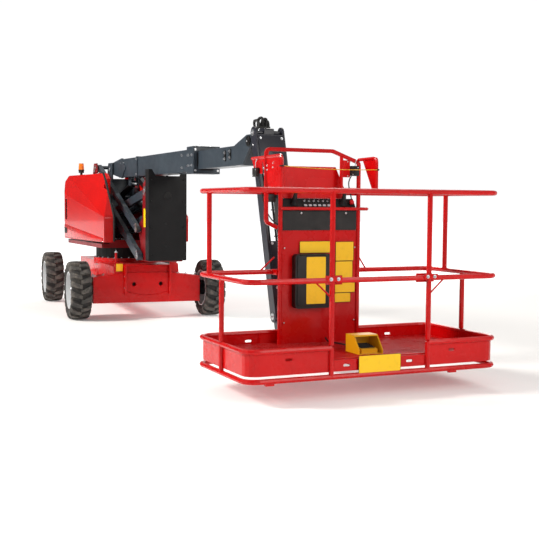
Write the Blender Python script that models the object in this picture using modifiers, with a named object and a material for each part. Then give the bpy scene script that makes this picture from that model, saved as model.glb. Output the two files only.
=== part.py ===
"""Articulating boom lift, stowed: chassis, turret, lifting arms, telescopic boom, jib and platform."""
import bpy
import bmesh
from math import atan2, cos, hypot, pi, radians, sin
from mathutils import Matrix, Vector

# Running gear
WHEEL_BASE = 2.14
TRACK = 1.50
TYRE_RADIUS = 0.320
TYRE_WIDTH = 0.228
RIM_RADIUS = 0.205
RIM_WALL = 0.014
HUB_RADIUS = 0.095
SPINDLE_RADIUS = 0.040
KINGPIN_Y = 0.545
KINGPIN_RADIUS = 0.032

# Chassis
BEAM_FRONT = WHEEL_BASE / 2 + 0.126
BEAM_DEPTH = 0.26
BEAM_HALF_WIDTH = 0.602
BEAM_BOTTOM = 0.178
BEAM_TOP = 0.465
TOWER_HALF_WIDTH = 0.250
TOWER_TOP = 0.585
FRAME_HALF_WIDTH = 0.36
FRAME_BOTTOM = 0.24
FRAME_TOP = 0.575
SLEW_RADIUS = 0.36
SLEW_TOP = 0.760
SLEW_REST = radians(4.5)

# Turret
DECK_THICKNESS = 0.05
DECK_FRONT = 0.62
DECK_REAR = -1.10
HOOD_SIDE = 0.500
HOOD_INNER = 0.300
HOOD_FRONT = 0.87
HOOD_REAR = -1.28
HOOD_BOTTOM = 0.820
HOOD_SHOULDER = 1.42
HOOD_TOP = 1.63
HOOD_SHEET = 0.012
HOOD_FRONT_INNER = 0.385
HOOD_NOTCH_REAR = 0.40
HOOD_LEAN = 2.1
CREASE_REAR = (-0.59, 1.427)
CREASE_FRONT = (0.87, 1.122)
FACET_REAR = (-1.16, 1.394)
HOOD_CORNER = 0.16
UPRIGHT_INNER = 0.252
PLATE = 0.016

# Lifting arms, in the turret's side view (x forward, z up)
ARM_FOOT = (-0.38, 1.43)
ARM_REACH = 1.65
ARM_DROP = 0.73
TIE_RISE = (-0.05, 0.29)
ARM_INNER = 0.190
ARM_SIDE = 0.048
ARM_DEPTH = 0.120
TIE_DEPTH = 0.070
UPPER_FOOT = (ARM_FOOT[0] + ARM_REACH + 0.09, 1.43)
UPPER_REACH = UPPER_FOOT[0] + 0.24
UPPER_DROP = 0.28
UPPER_TIE_FALL = 0.26
UPPER_INNER = 0.070
UPPER_SIDE = 0.050
UPPER_DEPTH = 0.110
ARM_PIN = 0.026
KNUCKLE_INNER = 0.160
KNUCKLE_FRONT = ARM_FOOT[0] + ARM_REACH + 0.335
KNUCKLE_BOTTOM = 0.650
KNUCKLE_TOP = 1.560
COVER_HALF_WIDTH = 0.213
REAR_KNUCKLE_INNER = 0.128

# Main boom
BOOM_FOOT = (-0.20, 1.700)
BOOM_AXIS_Z = 1.693
BOOM_REAR = 0.10
OUTER_WIDTH = 0.222
OUTER_HEIGHT = 0.215
BOOM_WALL = 0.012
COLLAR_REAR = 2.61
COLLAR_FRONT = 2.80
COLLAR_LIP = 0.024
INNER_REAR = 0.60
INNER_FRONT = 3.92
NOSE_CUT = 0.14
NOSE_SHEET = 0.018
INNER_WIDTH = 0.174
INNER_HEIGHT = 0.172
NOSE_PIVOT = (4.07, 1.800)

# Jib and platform
JIB_TOP = (4.22, 1.860)
JIB_REACH = 0.42
JIB_DROP = 1.47
JIB_TIE_FALL = (-0.021, -0.198)
JIB_INNER = 0.112
JIB_SIDE = 0.018
JIB_DEPTH = 0.100
JIB_TIE_DEPTH = 0.055
HOSE_RADIUS = 0.0125
SWIVEL_X = 4.93
SWIVEL_Z = 0.300
BASKET_REAR = 5.19
BASKET_LENGTH = 0.869
BASKET_HALF_WIDTH = 0.957
BASKET_CORNER = 0.09
RAIL_RADIUS = 0.018
BOTTOM_RAIL_Z = 0.155
TOE_RAIL_Z = 0.345
MID_RAIL_Z = 0.785
TOP_RAIL_Z = 1.362
ENTRY_LEFT = -0.360
ENTRY_RIGHT = 0.380
FLOOR_Z = 0.262
FLOOR_PLATE = 0.012
WALL_BOTTOM = 0.187
WALL_INSET = 0.006
WALL_SHEET = 0.008
POST_UPPER_X = 0.21
POST_LOWER_X = 0.44
BRACE_RADIUS = 0.006
COLUMN_X = 0.09
COLUMN_Y = -0.052
COLUMN_HALF_WIDTH = 0.318
COLUMN_TUBE = 0.016
COLUMN_TOP = 1.50
CONSOLE_BOTTOM = 1.088
CONSOLE_FRONT_TOP = 1.245
CONSOLE_TOP = 1.318
CONSOLE_HALF_WIDTH = 0.298
HAND_RAIL_Z = 1.244
HAND_RAIL_RADIUS = 0.012
HOOP_LEFT_Y = -0.482
HOOP_TOP = 1.663
HOOP_SHOULDER = 1.583
GUARD_TOP = 1.605
GUARD_BOTTOM = 1.385
GUARD_FRONT = 0.262

PIN_CLEARANCE = 0.0010
ROD_CLEARANCE = 0.0008
PAD_CLEARANCE = 0.0006
SEAT_GAP = 0.0003
ROUND_SIDES = 16
WHEEL_SIDES = 30

COLOURS = {
    "red_paint": ((0.62, 0.012, 0.012), 0.35, 0.0),
    "dark_red_paint": ((0.30, 0.008, 0.012), 0.4, 0.0),
    "grey_paint": ((0.050, 0.062, 0.075), 0.4, 0.0),
    "black_paint": ((0.012, 0.012, 0.014), 0.5, 0.0),
    "rubber": ((0.035, 0.035, 0.035), 0.9, 0.0),
    "rim_paint": ((0.55, 0.56, 0.58), 0.45, 0.0),
    "chrome": ((0.75, 0.76, 0.78), 0.15, 1.0),
    "black_plastic": ((0.015, 0.015, 0.016), 0.6, 0.0),
    "orange_lens": ((0.85, 0.22, 0.02), 0.3, 0.0),
    "yellow_paint": ((0.80, 0.50, 0.02), 0.4, 0.0),
    "cast_iron": ((0.10, 0.10, 0.11), 0.7, 0.0),
}


def clear_scene():
    for old in list(bpy.data.objects):
        bpy.data.objects.remove(old, do_unlink=True)


clear_scene()
partsCollection = bpy.data.collections.new("articulating_boom_lift")
bpy.context.scene.collection.children.link(partsCollection)
workCollection = bpy.data.collections.new("work_pieces")
bpy.context.scene.collection.children.link(workCollection)


def material(name):
    found = bpy.data.materials.get(name)
    if found:
        return found
    colour, roughness, metallic = COLOURS[name]
    made = bpy.data.materials.new(name)
    made.use_nodes = True
    shader = made.node_tree.nodes["Principled BSDF"]
    shader.inputs["Base Color"].default_value = (*colour, 1.0)
    shader.inputs["Roughness"].default_value = roughness
    shader.inputs["Metallic"].default_value = metallic
    return made


def empty(name, location=(0, 0, 0), turn=0.0, parent=None):
    made = bpy.data.objects.new(name, None)
    made.location = location
    made.rotation_euler = (0, 0, turn)
    made.parent = parent
    partsCollection.objects.link(made)
    return made


def piece_from(bm):
    """Work piece that holds a bmesh."""
    bmesh.ops.recalc_face_normals(bm, faces=bm.faces)
    mesh = bpy.data.meshes.new("piece")
    bm.to_mesh(mesh)
    bm.free()
    made = bpy.data.objects.new("piece", mesh)
    workCollection.objects.link(made)
    return made


def box(low, high):
    low, high = Vector(low), Vector(high)
    bm = bmesh.new()
    place = Matrix.Translation((low + high) / 2) @ Matrix.Diagonal((*(high - low), 1.0))
    bmesh.ops.create_cube(bm, size=1.0, matrix=place)
    return piece_from(bm)


def rod(start, end, radius, sides=ROUND_SIDES, end_radius=None):
    start, end = Vector(start), Vector(end)
    turn = (end - start).to_track_quat("Z", "Y").to_matrix().to_4x4()
    bm = bmesh.new()
    bmesh.ops.create_cone(bm, cap_ends=True, segments=sides, radius1=radius,
                          radius2=radius if end_radius is None else end_radius,
                          depth=(end - start).length,
                          matrix=Matrix.Translation((start + end) / 2) @ turn)
    return piece_from(bm)


def curve_piece(curve, place):
    """Mesh piece from a filled curve, with its loose caps welded."""
    held = bpy.data.objects.new("piece_curve", curve)
    held.matrix_world = place
    workCollection.objects.link(held)
    bpy.context.view_layer.update()
    evaluated = held.evaluated_get(bpy.context.evaluated_depsgraph_get())
    mesh = bpy.data.meshes.new_from_object(evaluated)
    bm = bmesh.new()
    bm.from_mesh(mesh)
    bmesh.ops.transform(bm, matrix=held.matrix_world, verts=bm.verts)
    bmesh.ops.remove_doubles(bm, verts=bm.verts, dist=0.00002)
    bmesh.ops.dissolve_limit(bm, angle_limit=radians(0.5), verts=bm.verts, edges=bm.edges)
    bpy.data.objects.remove(held, do_unlink=True)
    return piece_from(bm)


def poly_curve(points, dimensions, cyclic):
    curve = bpy.data.curves.new("outline", "CURVE")
    curve.dimensions = dimensions
    spline = curve.splines.new("POLY")
    spline.points.add(len(points) - 1)
    for point, at in zip(spline.points, points):
        point.co = (*at, 1.0) if len(at) == 3 else (*at, 0.0, 1.0)
    spline.use_cyclic_u = cyclic
    return curve


AXIS_TURNS = {
    "x": Matrix(((0, 0, 1, 0), (1, 0, 0, 0), (0, 1, 0, 0), (0, 0, 0, 1))),
    "y": Matrix(((1, 0, 0, 0), (0, 0, -1, 0), (0, 1, 0, 0), (0, 0, 0, 1))),
    "z": Matrix.Identity(4),
}


def plate(outline, low, high, axis="y"):
    """Flat plate: an (x, z) outline across y, a (y, z) one across x, or an (x, y) one across z."""
    curve = poly_curve(outline, "2D", True)
    curve.fill_mode = "BOTH"
    curve.extrude = (high - low) / 2
    shift = {"x": (1, 0, 0), "y": (0, 1, 0), "z": (0, 0, 1)}[axis]
    place = Matrix.Translation(Vector(shift) * (low + high) / 2) @ AXIS_TURNS[axis]
    return curve_piece(curve, place)


def rounded(points, radius, steps=4, closed=True):
    """Points with each corner replaced by an arc of the given radius."""
    points = [Vector(point) for point in points]
    count = len(points)
    path = []
    for index, corner in enumerate(points):
        if not closed and index in (0, count - 1):
            path.append(tuple(corner))
            continue
        before = (points[index - 1] - corner).normalized()
        after = (points[(index + 1) % count] - corner).normalized()
        half = before.angle(after) / 2
        reach = radius / max(abs(sin(half)) / cos(half), 0.01)
        centre = corner + (before + after).normalized() * (radius / sin(half))
        first = corner + before * reach - centre
        last = corner + after * reach - centre
        swing = pi - 2 * half
        for step in range(steps + 1):
            share = step / steps
            blend = first * sin((1 - share) * swing) + last * sin(share * swing)
            path.append(tuple(centre + blend / sin(swing)))
    return path


def tube(points, radius, closed=False, fineness=2):
    curve = poly_curve(points, "3D", closed)
    curve.bevel_depth = radius
    curve.bevel_resolution = fineness
    curve.use_fill_caps = not closed
    return curve_piece(curve, Matrix.Identity(4))


def capsule(start, end, radius, low, high, sides=12):
    """Link outline in side view: two round ends joined by straight edges, as a plate across y."""
    start, end = Vector(start), Vector(end)
    along = atan2(end.y - start.y, end.x - start.x)
    outline = []
    for centre, base in ((end, along - pi / 2), (start, along + pi / 2)):
        for step in range(sides // 2 + 1):
            angle = base + pi * step / (sides // 2)
            outline.append((centre.x + radius * cos(angle), centre.y + radius * sin(angle)))
    return plate(outline, low, high)


def boolean(target, operation, other):
    modifier = target.modifiers.new(operation.lower(), "BOOLEAN")
    modifier.operation = operation
    modifier.object = other
    other.hide_render = True
    other.display_type = "WIRE"


def discard(used):
    """Remove work pieces together with the pieces that their own modifiers name."""
    gone = set(used)
    for piece in used:
        gone |= {modifier.object for modifier in piece.modifiers if getattr(modifier, "object", None)}
    for piece in gone:
        bpy.data.objects.remove(piece, do_unlink=True)


def part(name, look, pieces, origin=(0, 0, 0), parent=None, cuts=()):
    """One named sub-part: its pieces united, its cuts taken out, its origin put where given."""
    base = pieces[0]
    for other in pieces[1:]:
        boolean(base, "UNION", other)
    for cutter in cuts:
        boolean(base, "DIFFERENCE", cutter)
    bpy.context.view_layer.update()
    evaluated = base.evaluated_get(bpy.context.evaluated_depsgraph_get())
    mesh = bpy.data.meshes.new_from_object(evaluated)
    mesh.name = name
    bm = bmesh.new()
    bm.from_mesh(mesh)
    bmesh.ops.remove_doubles(bm, verts=bm.verts, dist=0.00002)
    bmesh.ops.translate(bm, verts=bm.verts, vec=-Vector(origin))
    bm.to_mesh(mesh)
    bm.free()
    mesh.shade_smooth()
    mesh.set_sharp_from_angle(angle=radians(35))
    mesh.materials.clear()
    mesh.materials.append(material(look))
    discard([*pieces, *cuts])
    made = bpy.data.objects.new(name, mesh)
    made.location = origin
    made.parent = parent
    partsCollection.objects.link(made)
    return made


def both_sides(maker):
    """The pieces a maker gives for the left (-1) and the right (+1) side."""
    return [*maker(-1), *maker(1)]


def side_span(side, inner, outer):
    """Low and high y of something between two distances from the middle, on one side."""
    return (inner, outer) if side > 0 else (-outer, -inner)


def shifted(point, dx, dz):
    return (point[0] + dx, point[1] + dz)


ARM_HEAD = shifted(ARM_FOOT, ARM_REACH, -ARM_DROP)
TIE_FOOT = shifted(ARM_FOOT, *TIE_RISE)
TIE_HEAD = shifted(ARM_HEAD, *TIE_RISE)
UPPER_HEAD = shifted(UPPER_FOOT, -UPPER_REACH, -UPPER_DROP)
UPPER_TIE_FOOT = shifted(UPPER_FOOT, 0, -UPPER_TIE_FALL)
UPPER_TIE_HEAD = shifted(UPPER_HEAD, 0, -UPPER_TIE_FALL)
JIB_FOOT = shifted(JIB_TOP, JIB_REACH, -JIB_DROP)
JIB_TIE_TOP = shifted(JIB_TOP, *JIB_TIE_FALL)
JIB_TIE_FOOT = shifted(JIB_FOOT, *JIB_TIE_FALL)
ARM_CYLINDER_BASE = (KNUCKLE_FRONT - 0.125, 1.02)
ARM_CYLINDER_ALONG = 0.85
BOOM_CYLINDER_BASE = (-0.21, 1.36)
BOOM_CYLINDER_EYE = (0.34, 1.515)
CYLINDER_BORE = 0.038
CYLINDER_ROD = 0.020
AXLE_Z = TYRE_RADIUS
DECK_TOP = SLEW_TOP + DECK_THICKNESS


def at(point, y=0.0):
    """Side-view point as a place in space."""
    return (point[0], y, point[1])


def pin(point, inner, outer, radius=ARM_PIN):
    return rod(at(point, inner), at(point, outer), radius)


def bore(point, half_width, radius=ARM_PIN):
    return rod(at(point, -half_width), at(point, half_width), radius + PIN_CLEARANCE)


# ---------------------------------------------------------------- chassis

def front_beam():
    outline = [(-BEAM_HALF_WIDTH, BEAM_BOTTOM), (BEAM_HALF_WIDTH, BEAM_BOTTOM), (BEAM_HALF_WIDTH, BEAM_TOP),
               (TOWER_HALF_WIDTH, BEAM_TOP + 0.045), (-TOWER_HALF_WIDTH, BEAM_TOP + 0.045),
               (-BEAM_HALF_WIDTH, BEAM_TOP)]
    return plate(outline, BEAM_FRONT - BEAM_DEPTH, BEAM_FRONT, "x")


def tower():
    return box((BEAM_FRONT - 0.42, -TOWER_HALF_WIDTH, BEAM_BOTTOM + 0.05),
               (BEAM_FRONT - 0.012, TOWER_HALF_WIDTH, TOWER_TOP))


def tower_flange(side):
    low, high = side_span(side, TOWER_HALF_WIDTH - 0.006, TOWER_HALF_WIDTH + 0.008)
    return [box((BEAM_FRONT - 0.05, low, BEAM_BOTTOM + 0.085),
                (BEAM_FRONT + 0.035, high, TOWER_TOP + 0.012))]


def bore_in_face(y):
    return rod((BEAM_FRONT - 0.06, y, 0.383), (BEAM_FRONT + 0.05, y, 0.383), 0.022, 16)


def chassis(base):
    frame_rear = -WHEEL_BASE / 2 - 0.16
    backbone = box((frame_rear, -FRAME_HALF_WIDTH, FRAME_BOTTOM),
                   (BEAM_FRONT - 0.1, FRAME_HALF_WIDTH, FRAME_TOP))
    pedestal = rod((0, 0, FRAME_TOP - 0.02), (0, 0, FRAME_TOP + 0.05), SLEW_RADIUS + 0.03, 32)
    rear_beam = box((-WHEEL_BASE / 2 - 0.07, -KINGPIN_Y + 0.10, AXLE_Z - 0.07),
                    (-WHEEL_BASE / 2 + 0.07, KINGPIN_Y - 0.10, AXLE_Z + 0.07))
    lock_post = rod((0.93, -0.30, FRAME_TOP - 0.1), (0.93, -0.30, FRAME_TOP + 0.15), 0.014, 12)
    pieces = [backbone, front_beam(), tower(), *both_sides(tower_flange), pedestal, rear_beam, lock_post,
              *both_sides(king_fork)]
    cuts = [bore_in_face(-0.151), bore_in_face(0.151), *both_sides(kingpin_bores)]
    part("chassis", "red_paint", pieces, (0, 0, 0), base, cuts)


def king_fork(side):
    """Upper and lower ears of the steering fork at one end of the rear axle."""
    low, high = side_span(side, KINGPIN_Y - 0.13, KINGPIN_Y + 0.045)
    x = -WHEEL_BASE / 2
    return [box((x - 0.05, low, AXLE_Z + 0.062), (x + 0.05, high, AXLE_Z + 0.088)),
            box((x - 0.05, low, AXLE_Z - 0.088), (x + 0.05, high, AXLE_Z - 0.062))]


def kingpin_bores(side):
    y = side * KINGPIN_Y
    x = -WHEEL_BASE / 2
    return [rod((x, y, AXLE_Z - 0.2), (x, y, AXLE_Z + 0.2), KINGPIN_RADIUS * 0.6 + PIN_CLEARANCE)]


def axle_stub(base, side, name):
    """Fixed gear hub that carries one driven wheel."""
    x = WHEEL_BASE / 2
    pieces = [rod((x, side * (BEAM_HALF_WIDTH + SEAT_GAP), AXLE_Z), (x, side * (TRACK / 2 - 0.070), AXLE_Z),
                  0.085),
              rod((x, side * (BEAM_HALF_WIDTH + 0.02), AXLE_Z), (x, side * (TRACK / 2 + 0.030), AXLE_Z),
                  SPINDLE_RADIUS)]
    part(name, "black_paint", pieces, (x, side * TRACK / 2, AXLE_Z), base)


def steering_knuckle(base, side, name):
    x = -WHEEL_BASE / 2
    y = side * KINGPIN_Y
    body = rod((x, y, AXLE_Z - 0.056), (x, y, AXLE_Z + 0.056), KINGPIN_RADIUS + 0.012)
    kingpin = rod((x, y, AXLE_Z - 0.100), (x, y, AXLE_Z + 0.100), KINGPIN_RADIUS * 0.6)
    spindle = rod((x, y, AXLE_Z), (x, side * (TRACK / 2 + 0.030), AXLE_Z), SPINDLE_RADIUS)
    collar = rod((x, y + side * 0.02, AXLE_Z), (x, side * (TRACK / 2 - 0.070), AXLE_Z),
                 SPINDLE_RADIUS + 0.012)
    steering_arm = box((x, y - side * 0.02 - 0.015, AXLE_Z - 0.045),
                       (x + 0.20, y - side * 0.02 + 0.015, AXLE_Z - 0.020))
    part(name, "black_paint", [body, kingpin, spindle, collar, steering_arm], (x, y, AXLE_Z), base)


def turned(profile, x, y, sides, side):
    """Ring turned about the wheel's axis; the profile lists (radius, offset along the axle)."""
    closed = profile[0][0] > 0.0
    edges = [(i, i + 1) for i in range(len(profile) - 1)]
    if closed:
        edges.append((len(profile) - 1, 0))
    mesh = bpy.data.meshes.new("profile")
    mesh.from_pydata([(radius, 0.0, offset) for radius, offset in profile], edges, [])
    held = bpy.data.objects.new("profile", mesh)
    workCollection.objects.link(held)
    screw = held.modifiers.new("turn", "SCREW")
    screw.steps = sides
    screw.render_steps = sides
    screw.use_merge_vertices = True
    screw.merge_threshold = 0.0001
    bpy.context.view_layer.update()
    evaluated = held.evaluated_get(bpy.context.evaluated_depsgraph_get())
    made = bpy.data.meshes.new_from_object(evaluated)
    bm = bmesh.new()
    bm.from_mesh(made)
    place = Matrix.Translation((x, y, AXLE_Z)) @ Matrix.Rotation(radians(-90 * side), 4, "X")
    bmesh.ops.transform(bm, matrix=place, verts=bm.verts)
    bmesh.ops.remove_doubles(bm, verts=bm.verts, dist=0.00002)
    bpy.data.objects.remove(held, do_unlink=True)
    return piece_from(bm)


def tyre(base, x, side, name):
    half = TYRE_WIDTH / 2
    inner = RIM_RADIUS + SEAT_GAP
    profile = [(TYRE_RADIUS, half - 0.035), (TYRE_RADIUS, -half + 0.035), (TYRE_RADIUS - 0.030, -half),
               (inner + 0.02, -half), (inner, -half + 0.02), (inner, half - 0.02), (inner + 0.02, half),
               (TYRE_RADIUS - 0.030, half)]
    part(name, "rubber", [turned(profile, x, side * TRACK / 2, WHEEL_SIDES, side)],
         (x, side * TRACK / 2, AXLE_Z), base)


def rim(base, x, side, name):
    """Dished wheel: a barrel under the tyre, a disc and a hub with a closed bore for the spindle."""
    half = TYRE_WIDTH / 2
    bore_radius = SPINDLE_RADIUS + PIN_CLEARANCE
    profile = [(0.0, 0.072), (HUB_RADIUS - 0.03, 0.072), (HUB_RADIUS - 0.02, 0.050),
               (RIM_RADIUS - RIM_WALL - 0.02, 0.034), (RIM_RADIUS - RIM_WALL, half - 0.012),
               (RIM_RADIUS, half - 0.012), (RIM_RADIUS, -half + 0.012), (RIM_RADIUS - RIM_WALL,
                                                                         -half + 0.012),
               (RIM_RADIUS - RIM_WALL, 0.018), (HUB_RADIUS, 0.030), (HUB_RADIUS, -0.045),
               (bore_radius, -0.045), (bore_radius, 0.040), (0.0, 0.040)]
    ring = turned(profile, x, side * TRACK / 2, WHEEL_SIDES, side)
    part(name, "rim_paint", [ring], (x, side * TRACK / 2, AXLE_Z), base)


def running_gear(base):
    for end, x in (("front", WHEEL_BASE / 2), ("rear", -WHEEL_BASE / 2)):
        for hand, side in (("right", -1), ("left", 1)):
            tyre(base, x, side, f"{end}_{hand}_tyre")
            rim(base, x, side, f"{end}_{hand}_rim")
    for hand, side in (("right", -1), ("left", 1)):
        axle_stub(base, side, f"{hand}_axle_hub")
        steering_knuckle(base, side, f"{hand}_steering_knuckle")


# ---------------------------------------------------------------- turret

def slew_ring(turret):
    ring = rod((0, 0, FRAME_TOP + 0.05 + SEAT_GAP), (0, 0, SLEW_TOP), SLEW_RADIUS, 32)
    part("slew_ring", "black_paint", [ring], (0, 0, FRAME_TOP + 0.05), turret)


def upright(side):
    """Tall plate beside the arms, carrying both arm feet at its top."""
    low, high = side_span(side, UPRIGHT_INNER, UPRIGHT_INNER + PLATE)
    outline = [(-0.86, DECK_TOP - 0.02), (0.25, DECK_TOP - 0.02), (0.25, DECK_TOP + 0.10), (-0.22, 1.30),
               (-0.30, 1.48), (-0.37, TIE_FOOT[1] + 0.05), (-0.50, TIE_FOOT[1] + 0.05), (-0.60, 1.50)]
    return [plate(outline, low, high)]


def hood_lug(side):
    """Bracket on an upright that carries the hood's hinge edge from below."""
    low, high = side_span(side, UPRIGHT_INNER + PLATE - 0.002, HOOD_INNER + 0.05)
    return [box((-0.55, low, HOOD_TOP - HOOD_SHEET - 0.04), (-0.42, high, HOOD_TOP - HOOD_SHEET - SEAT_GAP))]


def turret_frame(turret):
    deck = box((DECK_REAR, -HOOD_SIDE + 0.04, SLEW_TOP + SEAT_GAP), (DECK_FRONT, HOOD_SIDE - 0.04, DECK_TOP))
    rear_wall = box((-0.86, -UPRIGHT_INNER - 0.004, DECK_TOP - 0.02), (-0.84, UPRIGHT_INNER + 0.004, 1.15))
    arm_height = ARM_FOOT[1] - ARM_DROP * (DECK_FRONT - ARM_FOOT[0]) / ARM_REACH
    apron_top = min(DECK_TOP + 0.04, arm_height - ARM_DEPTH * 0.62)
    front_apron = box((DECK_FRONT - 0.02, -0.37, DECK_TOP - 0.02), (DECK_FRONT, 0.37, apron_top))
    pieces = [deck, rear_wall, front_apron, *both_sides(upright), *both_sides(hood_lug)]
    cuts = [bore(ARM_FOOT, 0.4), bore(TIE_FOOT, 0.4)]
    part("turret_frame", "dark_red_paint", pieces, (0, 0, SLEW_TOP), turret, cuts)


def counterweight(turret):
    outline = rounded([(HOOD_REAR + 0.01, -HOOD_INNER + 0.02), (-0.89, -HOOD_INNER + 0.02),
                       (-0.89, HOOD_INNER - 0.02),
                       (HOOD_REAR + 0.01, HOOD_INNER - 0.02)], 0.03)
    block = plate(outline, DECK_TOP + SEAT_GAP, 1.36, "z")
    part("counterweight", "red_paint", [block], (-1.0, 0, DECK_TOP), turret)


def hood_outline():
    """Side view of a hood, from the bottom front corner, clockwise seen from the right."""
    corners = [(HOOD_REAR, HOOD_BOTTOM), (HOOD_REAR, 1.52), (-1.06, HOOD_TOP), (0.30, HOOD_TOP),
               (0.62, HOOD_SHOULDER), (HOOD_FRONT, 1.13), (HOOD_FRONT, HOOD_BOTTOM + 0.015)]
    return rounded(corners, 0.07, 3, False)


def hood(turret, side, name):
    """Engine hood on one side: a shell closed on top, outside, front and rear, open below and inside."""
    low, high = side_span(side, HOOD_INNER, HOOD_SIDE)
    solid = plate(hood_outline(), low, high)
    for cutter in (hood_lean(side, CREASE_REAR, HOOD_LEAN), hood_lean(side, FACET_REAR, HOOD_LEAN * 2.6),
                   hood_corner(side), hood_notch(side)):
        boolean(solid, "DIFFERENCE", cutter)
    shell = open_shell(solid, side)
    part(name, "red_paint", [shell], (0, side * HOOD_INNER, HOOD_TOP), turret, [hood_vent(side)])


def hood_lean(side, rear, lean):
    """Wedge taken off above a crease that falls towards the front, so that the flank leans inwards."""
    slope = (CREASE_FRONT[1] - rear[1]) / (CREASE_FRONT[0] - rear[0])
    outer, height = side * (HOOD_SIDE + 0.1), 0.9
    foot = CREASE_FRONT[1] - 0.1 * lean
    outline = [(outer, foot), (outer, foot + height), (outer - side * height / lean, foot + height)]
    wedge = plate(outline, HOOD_REAR - 0.1, HOOD_FRONT + 0.1, "x")
    shear = Matrix.Identity(4)
    shear[2][0] = slope
    shear[2][3] = -slope * CREASE_FRONT[0]
    wedge.data.transform(shear)
    return wedge


def hood_corner(side):
    """Piece taken off the rear outer corner, leaving it round in plan."""
    x, y, r = HOOD_REAR, HOOD_SIDE, HOOD_CORNER
    arc = [(x + r - r * cos(radians(step * 15)),
            side * (y - r + r * sin(radians(step * 15)))) for step in range(7)]
    outline = [(x - 0.1, side * (y - r)), *arc, (x + r, side * (y + 0.1)), (x - 0.1, side * (y + 0.1))]
    return plate(outline, HOOD_BOTTOM - 0.1, HOOD_TOP + 0.1, "z")


def hood_notch(side):
    """Step in the inner edge at the front, where the hood stands clear of the arms."""
    low, high = side_span(side, HOOD_INNER - 0.1, HOOD_FRONT_INNER)
    return box((HOOD_NOTCH_REAR, low, HOOD_BOTTOM - 0.1), (HOOD_FRONT + 0.1, high, HOOD_TOP + 0.1))


def open_shell(solid, side):
    """The solid as sheet metal, without its bottom and its inner side."""
    bpy.context.view_layer.update()
    evaluated = solid.evaluated_get(bpy.context.evaluated_depsgraph_get())
    bm = bmesh.new()
    bm.from_mesh(bpy.data.meshes.new_from_object(evaluated))
    bmesh.ops.remove_doubles(bm, verts=bm.verts, dist=0.00002)
    bm.normal_update()
    gone = [face for face in bm.faces if face.normal.z < -0.9 or face.normal.y * side < -0.9]
    bmesh.ops.delete(bm, geom=gone, context="FACES")
    discard([solid])
    mesh = bpy.data.meshes.new("shell")
    bm.to_mesh(mesh)
    bm.free()
    made = bpy.data.objects.new("shell", mesh)
    workCollection.objects.link(made)
    sheet = made.modifiers.new("sheet", "SOLIDIFY")
    sheet.thickness = HOOD_SHEET
    sheet.offset = -1.0
    sheet.use_even_offset = True
    return made


def hood_vent(side):
    low, high = side_span(side, HOOD_SIDE - 0.05, HOOD_SIDE + 0.05)
    return box((-1.10, low, 1.07), (-0.99, high, 1.33))


def power_pack(turret):
    low, high = side_span(-1, HOOD_INNER + 0.03, HOOD_SIDE - 0.05)
    block = box((-1.0, low, DECK_TOP + SEAT_GAP), (0.15, high, 1.25))
    part("right_battery_pack", "cast_iron", [block], (-0.4, -0.38, DECK_TOP), turret)
    low, high = side_span(1, HOOD_INNER + 0.03, HOOD_SIDE - 0.05)
    block = box((-1.0, low, DECK_TOP + SEAT_GAP), (0.15, high, 1.25))
    part("left_battery_pack", "cast_iron", [block], (-0.4, 0.38, DECK_TOP), turret)


def beacon(turret):
    x, y = -0.78, -0.36
    foot = HOOD_TOP + SEAT_GAP
    pieces = [rod((x, y, foot), (x, y, foot + 0.035), 0.016, 16),
              rod((x, y, foot + 0.030), (x, y, foot + 0.065), 0.034, 20)]
    part("beacon_base", "black_plastic", pieces, (x, y, foot), turret)
    lens = rod((x, y, foot + 0.065 + SEAT_GAP), (x, y, foot + 0.150), 0.036, 20, 0.030)
    part("beacon_lens", "orange_lens", [lens], (x, y, foot + 0.065), turret)


# ---------------------------------------------------------------- lifting arms

def pair_of_links(start, end, depth, inner, width):
    def one(side):
        return [capsule(start, end, depth / 2, *side_span(side, inner, inner + width))]
    return both_sides(one)


def lower_arm(turret):
    pieces = [*pair_of_links(ARM_FOOT, ARM_HEAD, ARM_DEPTH * 0.83, ARM_INNER, ARM_SIDE),
              pin(ARM_FOOT, -UPRIGHT_INNER - PLATE, UPRIGHT_INNER + PLATE),
              pin(ARM_HEAD, -ARM_INNER - 0.02, ARM_INNER + 0.02)]
    part("lower_arm", "grey_paint", pieces, at(ARM_FOOT), turret)


def lower_tie(turret):
    pieces = [*pair_of_links(TIE_FOOT, TIE_HEAD, TIE_DEPTH, ARM_INNER, ARM_SIDE),
              pin(TIE_FOOT, -UPRIGHT_INNER - PLATE, UPRIGHT_INNER + PLATE, 0.022),
              pin(TIE_HEAD, -ARM_INNER - 0.02, ARM_INNER + 0.02, 0.022)]
    part("lower_tie", "grey_paint", pieces, at(TIE_FOOT), turret)


def knuckle_side(side):
    rear = KNUCKLE_FRONT - 0.405
    outline = rounded([(rear, KNUCKLE_BOTTOM), (KNUCKLE_FRONT, KNUCKLE_BOTTOM), (KNUCKLE_FRONT, KNUCKLE_TOP),
                       (rear + 0.24, KNUCKLE_TOP), (rear + 0.09, 1.49), (rear + 0.07, 1.12),
                       (rear - 0.05, 1.05), (rear - 0.05, 0.93), (rear, 0.82)], 0.02, 3)
    return [plate(outline, *side_span(side, KNUCKLE_INNER, KNUCKLE_INNER + 0.015))]


def eye_stubs(point, inner, outer):
    """Short pin ends on both sides of a cylinder's rod eye."""
    return both_sides(lambda side: [pin(point, *side_span(side, inner, outer), 0.018)])


def cylinder_lugs(point, back_x, inner, outer):
    """Two ears standing back from the front plate of the knuckle."""
    def one(side):
        low, high = side_span(side, inner, outer)
        return [capsule(point, (back_x, point[1]), 0.038, low, high)]
    return both_sides(one)


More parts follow.
